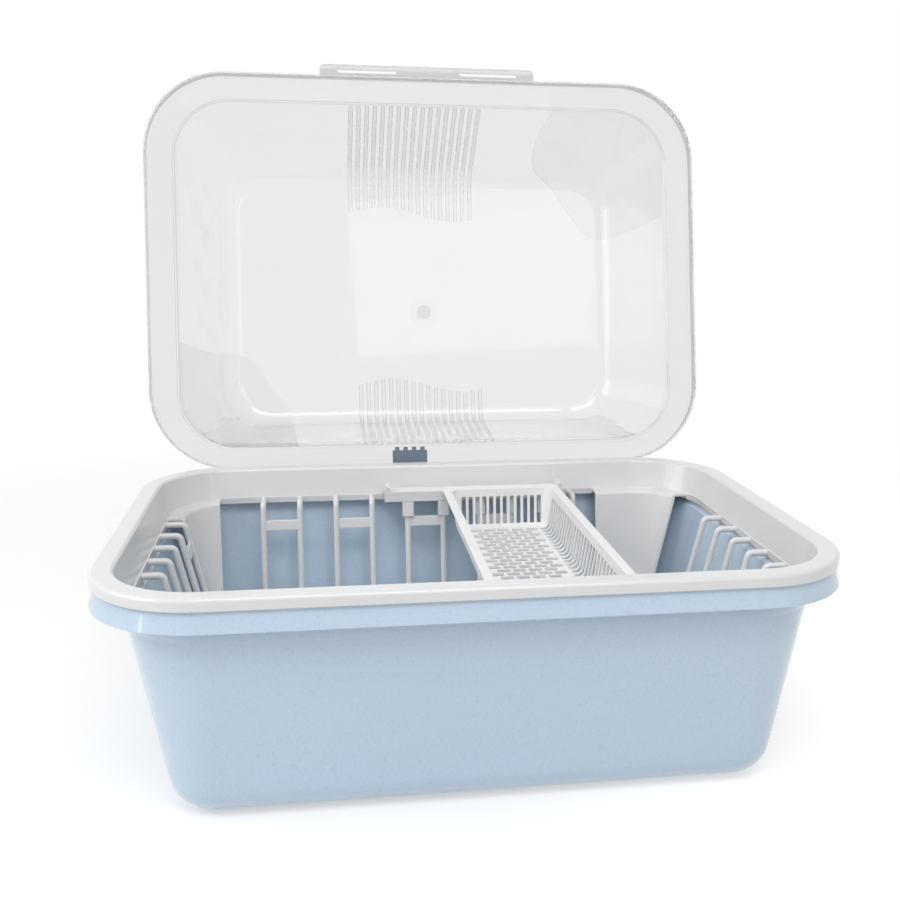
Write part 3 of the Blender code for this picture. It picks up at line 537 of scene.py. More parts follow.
def softened(thing, width, angle=40):
    """Rounds the piece's hard edges a little."""
    step = thing.modifiers.new("edges", "BEVEL")
    step.width = width
    step.segments = 2
    step.limit_method = "ANGLE"
    step.angle_limit = math.radians(angle)
    return applied(thing)


def finished(thing, body, nodes, finish=None, sharp=32):
    """Shades the piece, gives it its finish and sets it on its body in place of the plain solids."""
    if finish:
        thing.data.materials.clear()
        thing.data.materials.append(finish_named(finish))
    thing.data.shade_smooth()
    thing.data.set_sharp_from_angle(angle=math.radians(sharp))
    weighting = thing.modifiers.new("shading", "WEIGHTED_NORMAL")
    weighting.keep_sharp = True
    applied(thing)
    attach(thing, body)
    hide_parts(*nodes)
    return thing


# Geometry Nodes trees


def new_tree(name, sockets):
    """A tree with a mesh going in and out and the named inputs between."""
    tree = bpy.data.node_groups.new(name, "GeometryNodeTree")
    tree.interface.new_socket("Geometry", in_out="INPUT", socket_type="NodeSocketGeometry")
    for label, kind, value in sockets:
        socket = tree.interface.new_socket(label, in_out="INPUT", socket_type=f"NodeSocket{kind}")
        if value is not None:
            socket.default_value = value
    tree.interface.new_socket("Geometry", in_out="OUTPUT", socket_type="NodeSocketGeometry")
    return tree


def feed(tree, node, wires):
    """Each wire is an input of the node, and the socket or the plain value that goes into it."""
    for name, value in wires:
        if isinstance(value, bpy.types.NodeSocket):
            tree.links.new(value, node.inputs[name])
        else:
            node.inputs[name].default_value = value


def add_node(tree, kind, wires=(), **fields):
    """A node with its fields set and its inputs fed."""
    node = tree.nodes.new(kind)
    for field, value in fields.items():
        setattr(node, field, value)
    feed(tree, node, wires)
    return node


def close_tree(tree, given, shape):
    """Ends a tree in smooth, real geometry with its material."""
    real = add_node(tree, "GeometryNodeRealizeInstances", [("Geometry", shape)]).outputs[0]
    smooth = add_node(tree, "GeometryNodeSetShadeSmooth", [("Geometry", real)]).outputs[0]
    wires = [("Geometry", smooth), ("Material", given["Material"])]
    painted = add_node(tree, "GeometryNodeSetMaterial", wires).outputs[0]
    add_node(tree, "NodeGroupOutput", [("Geometry", painted)])
    return tree


def rod_tree():
    """A round rod along each path of edges."""
    sockets = (("Radius", "Float", 0.0025), ("Sides", "Int", 16), ("Material", "Material", None))
    tree = new_tree("Rod on a path", sockets)
    given = add_node(tree, "NodeGroupInput").outputs
    path = add_node(tree, "GeometryNodeMeshToCurve", [("Mesh", given["Geometry"])]).outputs[0]
    wires = [("Resolution", given["Sides"]), ("Radius", given["Radius"])]
    circle = add_node(tree, "GeometryNodeCurvePrimitiveCircle", wires, mode="RADIUS").outputs[0]
    wires = [("Curve", path), ("Profile Curve", circle), ("Fill Caps", True)]
    return close_tree(tree, given, add_node(tree, "GeometryNodeCurveToMesh", wires).outputs[0])


def rows_tree():
    """Copies of a piece at even steps along a row, and of the row at even steps across."""
    sockets = (
        ("Count", "Int", 1),
        ("Step", "Vector", (0.01, 0, 0)),
        ("Rows", "Int", 1),
        ("Row step", "Vector", (0, 0.01, 0)),
        ("Material", "Material", None),
    )
    tree = new_tree("Piece in rows", sockets)
    given = add_node(tree, "NodeGroupInput").outputs

    def line(count, step):
        wires = [("Count", given[count]), ("Offset", given[step])]
        return add_node(tree, "GeometryNodeMeshLine", wires, mode="OFFSET").outputs[0]

    def copies(points, piece):
        wires = [("Points", points), ("Instance", piece)]
        return add_node(tree, "GeometryNodeInstanceOnPoints", wires).outputs[0]

    grid = copies(line("Rows", "Row step"), line("Count", "Step"))
    places = add_node(tree, "GeometryNodeRealizeInstances", [("Geometry", grid)]).outputs[0]
    return close_tree(tree, given, copies(places, given["Geometry"]))


def shared_tree(name, make):
    return bpy.data.node_groups.get(name) or make()


def grown(thing, tree, **values):
    """The object with what the tree makes of it as its own mesh."""
    step = thing.modifiers.new("tree", "NODES")
    step.node_group = tree
    for item in tree.interface.items_tree:
        key = item.name.lower().replace(" ", "_")
        if item.in_out == "INPUT" and key in values:
            step[item.identifier] = values[key]
    return applied(thing)


def rod(name, points, radius, sides=16):
    return grown(wire(name, points), shared_tree("Rod on a path", rod_tree), radius=radius, sides=sides)


def in_rows(thing, count, step, rows=1, row_step=(0.0, 0.0, 0.0)):
    tree = shared_tree("Piece in rows", rows_tree)
    return grown(thing, tree, count=count, step=step, rows=rows, row_step=row_step)


def slot_cutter(middle, size, depth, along="z", roundness=ROUND_ENDS):
    """A prism with rounded corners, for one slot. Its outline lies across the given direction."""
    half_u, half_v = size[0] / 2, size[1] / 2
    outline = rounded_rectangle(half_u, half_v, min(half_u, half_v) * roundness, SLOT_CORNER_STEPS)
    rings = []
    for w in about(0, depth):
        rings.append([middle + Vector([(u, v, w)[axis] for axis in SLOT_AXES[along]]) for u, v in outline])
    return solid("slot", [rings])


# Tub


def tub_outline(height):
    return between(FOOT, TUB_WALL_TOP_OUTLINE, height / TUB_WALL_TOP)


def tub_inside(height):
    return shrunk(tub_outline(height), WALL)


def flare(low, high):
    """Rings where the tub's wall curves out to its mouth."""
    rings = []
    steps = settings().bend_steps
    for step in range(steps + 1):
        share = step / steps
        height = TUB_WALL_TOP + (FLARE_TOP - TUB_WALL_TOP) * share
        rings.append(ring(between(low, high, 1 - (1 - share) ** 2), height))
    return rings


def tub_rings():
    """The tub's skin: up the outside, over the hanging skirt and rim, and down the inside."""
    under_rim = TUB_TOP - WALL
    mouth = shrunk(RIM, MOUTH_INSET)
    outer_mouth = shrunk(RIM, MOUTH_INSET - WALL)
    rounding = TUB_RIM_ROUNDING
    skirt_bottom = SKIRT_LOW + WALL / 2
    rings = floor_fillet(tub_outline, 0, FOOT_FILLET)
    rings += flare(tub_outline(TUB_WALL_TOP), outer_mouth)
    rings += [ring(outer_mouth, under_rim), rim_ring(SKIRT_INSET + WALL, under_rim)]
    rings += [rim_ring(SKIRT_INSET + WALL, SKIRT_SHOULDER)]
    rings += bend(WALL / 2, skirt_bottom, WALL / 2, 180, 360)
    for step in range(1, SKIRT_STEPS + 1):
        share = step / SKIRT_STEPS
        inset = SKIRT_INSET * (1 - (1 - share) ** SKIRT_BOW)
        rings.append(rim_ring(inset, skirt_bottom + (SKIRT_SHOULDER - skirt_bottom) * share))
    rings += bend(SKIRT_INSET + rounding, TUB_TOP - rounding, rounding, 0, 90)
    rings += [rim_ring(MOUTH_INSET - rounding, TUB_TOP), ring(mouth, TUB_TOP - rounding)]
    rings += flare(tub_inside(TUB_WALL_TOP), mouth)[::-1]
    rings += floor_fillet(tub_inside, WALL, FOOT_FILLET - WALL)[::-1]
    return rings


# Drainer basket


def drainer_inside(height):
    top = shrunk(RIM, LOWER_WALL_INSET)
    share = (height - DRAINER_FLOOR) / (LOWER_WALL_TOP - DRAINER_FLOOR)
    return between(DRAINER_FLOOR_OUTLINE, top, share)


def drainer_outside(height):
    return shrunk(drainer_inside(height), -WALL)


def drainer_rings():
    """The basket's skin, from under its floor up over the rim and down to the floor inside."""
    bend_height = RIM_TOP - RIM_ROUNDING
    outer_bend, inner_bend = LIP_INSET + RIM_ROUNDING, RIM_INNER_INSET - RIM_ROUNDING
    shoulder_low = SHOULDER_TOP - WALL
    thin = RIM_ROUNDING - WALL
    half_ridge = RIDGE_THICKNESS / 2
    rings = floor_fillet(drainer_outside, DRAINER_FLOOR - WALL, DRAINER_FILLET + WALL)
    rings += [ring(drainer_outside(LOWER_WALL_TOP), LOWER_WALL_TOP)]
    rings += [rim_ring(LOWER_WALL_INSET - WALL, shoulder_low)]
    rings += [rim_ring(RIDGE_INSET + RIDGE_THICKNESS, shoulder_low)]
    rings += bend(RIDGE_INSET + half_ridge, RIDGE_LOW + half_ridge, half_ridge, 180, 360)
    rings += [rim_ring(BAND_LOW_INSET - WALL, SHOULDER_TOP)]
    rings += bend(inner_bend, bend_height, thin, 180, 90)
    rings += bend(outer_bend, bend_height, thin, 90, 0)
    rings += bend(LIP_INSET + WALL / 2, LIP_LOW + WALL / 2, WALL / 2, 180, 360)
    rings += bend(outer_bend, bend_height, RIM_ROUNDING, 0, 90)
    rings += bend(inner_bend, bend_height, RIM_ROUNDING, 90, 180)
    rings += [rim_ring(BAND_LOW_INSET, SHOULDER_TOP)]
    rings += bend(BAND_LOW_INSET + SHOULDER_WIDTH, LOWER_WALL_TOP, SHOULDER_ROUNDING, 90, 180)
    rings += floor_fillet(drainer_inside, DRAINER_FLOOR, DRAINER_FILLET)[::-1]
    return rings


def window(wall, low_range, high_range):
    """A tapered opening through one wall, with rounded corners at its sill."""
    face = []
    for corner, first in ((low_range[0] + WINDOW_CORNER, 180), (low_range[1] - WINDOW_CORNER, 270)):
        for turn in turns(first, first + 90, WINDOW_CORNER_STEPS):
            rise = WINDOW_CORNER * (1 + math.sin(turn))
            face.append((corner + WINDOW_CORNER * math.cos(turn), WINDOW_LOW + rise))
    face += [(high_range[1], WINDOW_HIGH), (high_range[0], WINDOW_HIGH)]
    insets = (WINDOW_INSET, WINDOW_DEPTH)
    return [[on_wall(wall, along, inset, height) for along, height in face] for inset in insets]


def windows():
    long_low = (LONG_WINDOW[0] + LONG_WINDOW_TAPER, LONG_WINDOW[1])
    right_low = (RIGHT_WINDOW[0], RIGHT_WINDOW[1] - END_WINDOW_TAPER)
    left_low = (LEFT_WINDOW[0] + END_WINDOW_TAPER, LEFT_WINDOW[1])
    return [
        window(REAR, long_low, LONG_WINDOW),
        window(FRONT, long_low, LONG_WINDOW),
        window(RIGHT, right_low, RIGHT_WINDOW),
        window(LEFT, left_low, LEFT_WINDOW),
    ]


def window_cutters():
    """All four windows, kept inside the band so that it runs on round the corners above them."""
    under_band = [rim_ring(WINDOW_INSET, height) for height in (0, RIM_TOP)]
    return combine(solid("windows", windows()), solid("under_band", [under_band]), "INTERSECT")


def rib_lean(wall):
    axis = 0 if wall[0] else 1
    top, floor = drainer_inside(LOWER_WALL_TOP), drainer_inside(DRAINER_FLOOR)
    return (top[axis] - floor[axis]) / (LOWER_WALL_TOP - DRAINER_FLOOR)


def rib_inset(wall, height):
    """Where the middle of a rib stands, below its bend."""
    bend_low = SHOULDER_TOP - settings().rib_radius - RIB_BEND_DROP
    return RIB_FACE_INSET + rib_lean(wall) * (bend_low - height)


def rib_path(wall, along):
    """A rib comes out of the band, turns down and runs to the sill."""
    top = SHOULDER_TOP - settings().rib_radius
    bend_low = top - RIB_BEND_DROP
    points = [on_wall(wall, along, RIB_ROOT_INSET, top)]
    for turn in turns(0, 90, RIB_BEND_STEPS):
        inset = RIB_BEND_INSET + (RIB_FACE_INSET - RIB_BEND_INSET) * math.sin(turn)
        points.append(on_wall(wall, along, inset, bend_low + RIB_BEND_DROP * math.cos(turn)))
    points.append(on_wall(wall, along, rib_inset(wall, RIB_LOW), RIB_LOW))
    return points


def rib_rows():
    """Every window's ribs: the wall, the first place along it, the pitch and the count."""
    rows = [(wall, *row) for wall in (REAR, FRONT) for row in (LEFT_RIBS, RIGHT_RIBS)]
    start, pitch, count = END_RIBS
    return rows + [(wall, wall[0] * start, wall[0] * pitch, count) for wall in (LEFT, RIGHT)]


def row_of_ribs(wall, start, pitch, count):
    step = Vector((0, pitch, 0)) if wall[0] else Vector((pitch, 0, 0))
    return in_rows(rod("ribs", rib_path(wall, start), settings().rib_radius), count, step)


def crossbar(wall, start, end):
    """A flat bar that ties two ribs together and leans with them."""
    rings = []
    for height in (CROSSBAR_LOW, CROSSBAR_LOW + CROSSBAR_HEIGHT):
        near, far = about(rib_inset(wall, height), CROSSBAR_THICKNESS)
        places = ((start, near), (end, near), (end, far), (start, far))
        rings.append([on_wall(wall, along, inset, height) for along, inset in places])
    return rings


def crossbars():
    """A bar across every second pair of ribs on the long walls, and across the last on the ends."""
    bars = []
    for wall, start, pitch, count in rib_rows():
        for i in [count - 2] if wall[0] else range(0, count, 2):
            bars.append(crossbar(wall, *sorted((start + pitch * i, start + pitch * (i + 1)))))
    return bars


def drain_slots():
    pitch_x, pitch_y = DRAIN_SLOT_PITCH
    columns, rows = DRAIN_SLOT_COUNT
    first_x, first_y = -pitch_x * (columns - 1) / 2, -pitch_y * (rows - 1) / 2
    slot = slot_cutter(Vector((first_x, first_y, DRAINER_FLOOR - WALL / 2)), DRAIN_SLOT, WALL * 4)
    return in_rows(slot, columns, (pitch_x, 0, 0), rows, (0, pitch_y, 0))


def hinge_lug(start):
    """A rounded ear behind the rim that carries one end of the hinge pin."""
    root = RIM[1] - LIP_INSET - WALL / 2
    section = [(root, LIP_LOW + GAP)]
    section += [(HINGE.y + y, HINGE.z + z) for y, z in arc(LUG_RADIUS, *LUG_TURNS)]
    section.append((root, HINGE.z + LUG_RADIUS))
    return [[Vector((x, y, z)) for y, z in section] for x in (start, start + LUG_WIDTH)]


# Cross rails


def leg_ring(wall, sides, insets, height):
    places = ((0, 0), (1, 0), (1, 1), (0, 1))
    return [on_wall(wall, sides[a], insets[b], height) for a, b in places]


def leg_places():
    places = []
    for start, pitch, count in (LEFT_RIBS, RIGHT_RIBS):
        places += [start + pitch * i for i in range(count)]
    return [x for x in places if RAIL_ENDS[0] < x < RAIL_ENDS[1]]


def rail_legs(wall):
    """The legs that straddle the ribs, and the grooves that the ribs stand in."""
    radius = settings().rib_radius
    legs, grooves = [], []
    for x in leg_places():
        leg, groove = [], []
        for height in (LEG_LOW, RAIL_TOP - WALL / 2):
            face = rib_inset(wall, height) + radius + LEG_CLEARANCE
            front = face + WALL if height == LEG_LOW else RAIL_FRONT_INSET - WALL / 3
            leg.append(leg_ring(wall, about(x, LEG_WIDTH), (face - LEG_WIDTH / 2, front), height))
        for height in (LEG_LOW - WALL, RAIL_LOW):
            face = rib_inset(wall, height) + radius + LEG_CLEARANCE
            sides = about(x, 2 * (radius + GAP))
            groove.append(leg_ring(wall, sides, (face - LEG_WIDTH, face), height))
        legs.append(leg)
        grooves.append(groove)
    return legs, grooves


def rail_stops(wall):
    """A wedge on each end of the rail that keeps the cutlery basket from sliding off."""
    stops = []
    for end, inward in ((RAIL_ENDS[0], 1), (RAIL_ENDS[1], -1)):
        tip = end + inward * RAIL_STOP_WIDTH / 3
        foot = end + inward * RAIL_STOP_WIDTH
        low, high = RAIL_TOP - WALL / 2, RAIL_TOP + RAIL_STOP_HEIGHT
        section = ((end, low), (foot, low), (foot, high), (tip, high), (end, RAIL_TOP))
        insets = (RAIL_INSET + GAP, RAIL_FRONT_INSET - GAP)
        stops.append([[on_wall(wall, x, inset, z) for x, z in section] for inset in insets])
    return stops


def rail(name, wall):
    """An upturned channel on the rib tops, with its legs and end stops."""
    section = (
        (RAIL_FRONT_INSET, RAIL_LIP_LOW),
        (RAIL_FRONT_INSET, RAIL_TOP),
        (RAIL_INSET, RAIL_TOP),
        (RAIL_INSET, RAIL_LOW),
        (RAIL_INSET + WALL, RAIL_LOW),
        (RAIL_INSET + WALL, RAIL_TOP - WALL),
        (RAIL_FRONT_INSET - WALL, RAIL_TOP - WALL),
        (RAIL_FRONT_INSET - WALL, RAIL_LIP_LOW),
    )
    channel = [[on_wall(wall, x, inset, height) for inset, height in section] for x in RAIL_ENDS]
    legs, grooves = rail_legs(wall)
    body = combine(solid(name, [channel]), solid("legs", legs), "UNION")
    combine(body, solid("grooves", grooves), "DIFFERENCE")
    combine(body, solid("stops", rail_stops(wall)), "UNION")
    return softened(body, settings().edge)


# Cutlery basket


def cutlery_outside(height):
    low = CUTLERY_FLOOR - WALL
    return between(CUTLERY_FLOOR_OUTLINE, CUTLERY_MOUTH, (height - low) / (CUTLERY_RIM_LOW - low))


def cutlery_inside(height):
    return shrunk(cutlery_outside(height), CUTLERY_WALL)


def cutlery_rings():
    rounding = CUTLERY_RIM_ROUNDING
    broken = rounding * CUTLERY_MOUTH_BREAK
    rings = floor_fillet(cutlery_outside, CUTLERY_FLOOR - WALL, CUTLERY_FILLET + WALL)
    rings += [ring(cutlery_outside(CUTLERY_RIM_LOW), CUTLERY_RIM_LOW)]
    rings += edge_bend(CUTLERY_RIM, CUTLERY_RIM_LOW + rounding, rounding, 270, 360)
    rings += edge_bend(CUTLERY_RIM, CUTLERY_RIM_TOP - rounding, rounding, 0, 90)
    mouth = cutlery_inside(CUTLERY_RIM_TOP)
    rings += [ring(shrunk(mouth, -rounding), CUTLERY_RIM_TOP)]
    rings += [ring(shrunk(mouth, -broken), CUTLERY_RIM_TOP - broken)]
    rings += [ring(mouth, CUTLERY_RIM_TOP - rounding)]
    rings += floor_fillet(cutlery_inside, CUTLERY_FLOOR, CUTLERY_FILLET)[::-1]
    return rings


def wall_slots(axis, inner, outer, heights, width, pitch, count):
    """The upright slots of the two walls that face along X, where the axis is 0, or along Y."""
    first, step = Vector((0, 0, sum(heights) / 2)), Vector((0, 0, 0))
    first[1 - axis] = -pitch * (count - 1) / 2
    step[1 - axis] = pitch
    size, depth = (width, heights[1] - heights[0]), outer - inner
    cutters = []
    for side in (-1, 1):
        first[axis] = side * (inner + depth / 2)
        slot = slot_cutter(first, size, depth, "xy"[axis], WALL_SLOT_ROUNDNESS)
        cutters.append(in_rows(slot, count, step))
    return cutters


def cutlery_cutters():
    """The slots of the basket's walls, which turn in under the floor on the long sides."""
    low, high = CUTLERY_FLOOR - 2 * WALL, CUTLERY_RIM_LOW - SLOT_TOP_MARGIN
    side_row = (SIDE_SLOT_WIDTH, SIDE_SLOT_PITCH, SIDE_SLOTS)
    cutters = wall_slots(0, SIDE_SLOT_START, CUTLERY_RIM[0], (low, high), *side_row)
    low = CUTLERY_FLOOR + END_SLOT_LOW_MARGIN
    inner = CUTLERY_FLOOR_OUTLINE[1] - CUTLERY_FILLET
    end_row = (END_SLOT_WIDTH, END_SLOT_PITCH, END_SLOTS)
    return cutters + wall_slots(1, inner, CUTLERY_RIM[1], (low, high), *end_row)


def floor_bricks():
    """Short slots in the basket's floor, laid like bricks."""
    cutters = []
    for shift in (0, 1):
        across = BRICKS_ACROSS - shift
        rows = (SIDE_SLOTS + 1) // 2 - shift
        first_x = -BRICK_PITCH * (across - 1) / 2
        first_y = SIDE_SLOT_PITCH * (shift - (SIDE_SLOTS - 1) / 2)
        first = Vector((first_x, first_y, CUTLERY_FLOOR - WALL / 2))
        slot = slot_cutter(first, (BRICK_LENGTH, BRICK_WIDTH), WALL * 3, roundness=BRICK_ROUNDNESS)
        cutters.append(in_rows(slot, across, (BRICK_PITCH, 0, 0), rows, (0, 2 * SIDE_SLOT_PITCH, 0)))
    return cutters


# Cover


def dome_outline(height):
    return between(DOME, PANEL, (height - LID_HIGH) / DOME_HEIGHT)


def dome_middle(height):
    """The cover's top sits nearer the hinge than its flange does."""
    return DOME_Y + (PANEL_Y - DOME_Y) * (height - LID_HIGH) / DOME_HEIGHT


def dome_body(grow):
    """The dome as a solid, grown out or drawn in by a distance from the cover's outer skin."""

    def outline(height):
        return shrunk(dome_outline(height - grow), -grow)

    def middle(height):
        return dome_middle(height - grow)

    top = PANEL_TOP + grow
    rings = floor_fillet(outline, top, DOME_FILLET + grow, middle, up=-1)
    low = LID_HIGH + STEP_HEIGHT / 2 - WALL * (grow < 0)
    rings += [ring(outline(low), low, (0.0, middle(low)))]
    return rings


def lid_rings():
    """The cover's skin, from its top down over the flange and lip and back up inside."""

    def inner_outline(height):
        return shrunk(dome_outline(height + WALL), WALL)

    def inner_middle(height):
        return dome_middle(height + WALL)

    edge = (RIM[0] + GAP + WALL, RIM[1] + GAP + WALL, LID_CORNER)
    lip_low = LID_LOW - LID_LIP
    step_top, inner_step_top = LID_HIGH + STEP_HEIGHT, LID_LOW + STEP_HEIGHT
    middle = (0.0, DOME_Y)
    step = shrunk(DOME, -STEP_WIDTH)
    rounding = STEP_HEIGHT / 2
    rings = floor_fillet(dome_outline, PANEL_TOP, DOME_FILLET, dome_middle, up=-1)
    rings += [ring(dome_outline(step_top), step_top, (0.0, dome_middle(step_top)))]
    rings += edge_bend(step, step_top - rounding, rounding, 90, 0, middle)
    rings += [ring(step, LID_HIGH, middle)]
    rings += edge_bend(edge, LID_HIGH - LID_ROUNDING, LID_ROUNDING, 90, 0)
    rings += edge_bend(edge, lip_low + WALL / 2, WALL / 2, 0, -180)
    rings += [ring(shrunk(edge, WALL), LID_LOW), ring(shrunk(step, WALL), LID_LOW, middle)]
    rings += [ring(shrunk(step, STEP_SLANT), inner_step_top, middle)]
    rings += [ring(inner_outline(inner_step_top), inner_step_top, middle)]
    inside = floor_fillet(inner_outline, PANEL_TOP - WALL, DOME_FILLET - WALL, inner_middle, up=-1)
    return rings + inside[::-1]


def skin_layer(name, grow):
    """A thin layer over the dome, sunk halfway into its wall."""
    return combine(solid(name, [dome_body(grow)]), solid("core", [dome_body(-WALL / 2)]), "DIFFERENCE")


def prism(name, outline):
    low, high = LID_HIGH + STEP_HEIGHT, PANEL_TOP + WALL
    return solid(name, [[[Vector((x, y, z)) for x, y in outline] for z in (low, high)]])


def curve_through(points, steps=8):
    """A smooth line through points in millimetres, each stretch bent by the points beside it."""
    ends = [points[0]] + list(points) + [points[-1]]
    line = []
    for four in zip(ends, ends[1:], ends[2:], ends[3:]):
        for step in range(steps):
            t = step / steps
            place = []
            for p, q, r, s in zip(*four):
                square, cube = 2 * p - 5 * q + 4 * r - s, 3 * q - p - 3 * r + s
                place.append(0.5 * (2 * q + (r - p) * t + square * t * t + cube * t**3))
            line.append(place)
    return [(x / 1000, y / 1000) for x, y in line + [points[-1]]]


def grip_wave(start, side, reach):
    """The area that one field of grip ribs fills, seen from above, with its wavy end on the top."""
    left = start - GRIP_RIB_PITCH / 2
    width = GRIP_RIB_PITCH * (settings().grip_ribs - 1) + GRIP_RIB_PITCH
    fold = PANEL_Y + side * PANEL[1]
    outline = []
    for step in range(GRIP_WAVE_STEPS + 1):
        share = step / GRIP_WAVE_STEPS
        wave = GRIP_WAVE * math.sin(math.tau * GRIP_WAVES * share)
        outline.append((left + width * share, fold - side * (reach + side * wave)))
    return outline + [(outline[-1][0], side * RIM[1]), (outline[0][0], side * RIM[1])]


def grip_path(x, side):
    """Up the dome's wall, round its fillet and far on to its top, just under the skin."""

    def at(height):
        outline = shrunk(dome_outline(height), GRIP_RIB_SINK)
        return dome_middle(height) + side * outline[1], height

    points = [at(LID_HIGH)]
    radius = DOME_FILLET - GRIP_RIB_SINK
    top = PANEL_TOP - GRIP_RIB_SINK
    for turn in turns(0, 90, GRIP_BEND_STEPS):
        height = top - radius * (1 - math.sin(turn))
        outline = shrunk(dome_outline(height), GRIP_RIB_SINK + radius * (1 - math.cos(turn)))
        points.append((dome_middle(height) + side * outline[1], height))
    points.append((PANEL_Y, top))
    return [Vector((x, y, z)) for y, z in points]


def grip_field(middle, side, reach):
    """Ribs up the front or the rear of the dome, kept low and within their wavy area."""
    count = settings().grip_ribs
    start = middle - GRIP_RIB_PITCH * (count - 1) / 2
    rib = rod("grip", grip_path(start, side), GRIP_RIB_RADIUS, GRIP_RIB_SIDES)
    ribs = in_rows(rib, count, (GRIP_RIB_PITCH, 0, 0))
    combine(ribs, skin_layer("layer", GRIP_RIB_HEIGHT), "INTERSECT")
    return combine(ribs, prism("wave", grip_wave(start, side, reach)), "INTERSECT")


def frosted_corner(points, far_x, far_y):
    """A layer of the dome between a wavy edge and a far corner."""
    outline = curve_through(points) + [(far_x, far_y)]
    layer = skin_layer("frosted", settings().frost_height)
    return combine(layer, prism("corner", outline), "INTERSECT")


def gate_step(radius, rise):
    """A low round step inside the cover, where the plastic was let in."""
    low = PANEL_TOP - WALL - rise
    section = (
        (radius - rise, low),
        (radius - rise * GATE_BREAK[0], low + rise * GATE_BREAK[1]),
        (radius, low + rise),
        (radius, low + rise + WALL / 2),
    )
    angles = [math.tau * side / GATE_SIDES for side in range(GATE_SIDES)]
    sides = [Vector((math.cos(angle), math.sin(angle), 0)) for angle in angles]
    return [[GATE + side * r + Vector((0, 0, height)) for side in sides] for r, height in section]


def tab_rings():
    """The flat tab on the cover's front edge, by which it is lifted."""
    centre = (TAB_X, TAB_ROOT / 2 - TAB_DEPTH / 2 - RIM[1] - GAP - WALL)
    high = LID_HIGH - TAB_DROP
    rings = edge_bend(TAB, high - TAB_THICKNESS + TAB_ROUNDING, TAB_ROUNDING, 270, 360, centre)
    rings += edge_bend(TAB, high - TAB_ROUNDING, TAB_ROUNDING, 0, 90, centre)
    return rings


def tab_slots():
    middle = Vector((TAB_X - TAB_SLOT_X, -RIM[1] - GAP - WALL - TAB_DEPTH / 2, LID_LOW))
    return in_rows(slot_cutter(middle, TAB_SLOT, WALL * 6), 2, (2 * TAB_SLOT_X, 0, 0))


def clip_places():
    return [CLIP_X + (i - (HOOKS - 1) / 2) * HOOK_PITCH for i in range(HOOKS)]


def clip_plate(grow=0.0):
    """The clip's plate, or the notch for it when it is grown by the gap round it."""
    front, back = HINGE.y - CLIP_EDGE - CLIP_DEPTH - grow, HINGE.y - CLIP_EDGE + grow
    return block(about(CLIP_X, CLIP_WIDTH + 2 * grow), (front, back), (LID_LOW - grow, LID_HIGH + grow))


def clip_prongs(grow=0.0):
    """Four teeth on the plate's inner edge."""
    front = HINGE.y - CLIP_EDGE - CLIP_DEPTH
    reach = (front - PRONG_LENGTH - grow, front + WALL)
    high = (LID_LOW - grow, LID_HIGH + grow)
    return [block(about(x, HOOK_WIDTH + 2 * grow), reach, high) for x in clip_places()]


def lip_notch():
    """Room in the cover's lip for the hinge lugs."""
    width = CLIP_WIDTH + 2 * (LUG_WIDTH + GAP + LOOSE_FIT)
    reach = (RIM[1], RIM[1] + LIP_NOTCH_DEPTH)
    return block(about(CLIP_X, width), reach, (LID_LOW - LID_LIP - WALL, LID_HIGH + WALL))


def opened(thing):
    """Turns a piece of the cover from closed to open about the hinge."""
    turn = Matrix.Translation(HINGE) @ Matrix.Rotation(-OPEN_ANGLE, 4, "X") @ Matrix.Translation(-HINGE)
    thing.data.transform(turn)
    return thing


def with_finish(thing, finish):
    """Lists the cover's finishes on the piece and gives its faces one, which they keep in every cut."""
    thing.data.materials.clear()
    for name in COVER_FINISHES:
        thing.data.materials.append(finish_named(name))
    for face in thing.data.polygons:
        face.material_index = COVER_FINISHES.index(finish)
    return thing


def lip_marked(thing):
    """Gives the flange, and the lip and step, finishes of their own with painted shade, because light is
    caught there.
    """
    for face in thing.data.polygons:
        if face.center.z < LID_HIGH + STEP_HEIGHT + GAP:
            finish = "flange" if abs(face.normal.z) > FLAT_FACE else "lip"
            face.material_index = COVER_FINISHES.index(finish)
    return thing


def cover_body():
    """The clear cover as it lies closed."""
    body = lip_marked(with_finish(solid("cover", [lid_rings()]), "clear"))
    # Painted shade: the grip ribs take the darker ribbed finish, and the tab and the gate's boss and ring the
    # darker lip and flange finishes
    additions = (
        (grip_field(FRONT_GRIP_X, -1, FRONT_GRIP_REACH), "ribbed"),
        (grip_field(REAR_GRIP_X, 1, REAR_GRIP_REACH), "ribbed"),
        (frosted_corner(FRONT_PATCH, RIM[0], -RIM[1]), "frosted"),
        (frosted_corner(REAR_PATCH, -RIM[0], RIM[1]), "frosted"),
        (solid("tab", [tab_rings()]), "lip"),
        (solid("gate_ring", [gate_step(GATE_RING, GATE_RING_HEIGHT)]), "flange"),
        (solid("gate", [gate_step(GATE_RADIUS, GATE_HEIGHT)]), "lip"),
    )
    for piece, finish in additions:
        combine(body, with_finish(piece, finish), "UNION")
    # Painted shade: the faces that the cuts leave take the darker lip finish
    cutters = (
        tab_slots(),
        solid("notch", [lip_notch()]),
        solid("seat", [clip_plate(GAP)]),
        solid("teeth", clip_prongs(GAP)),
    )
    for cutter in cutters:
        combine(body, with_finish(cutter, "lip"), "DIFFERENCE")
    return body


# Clip


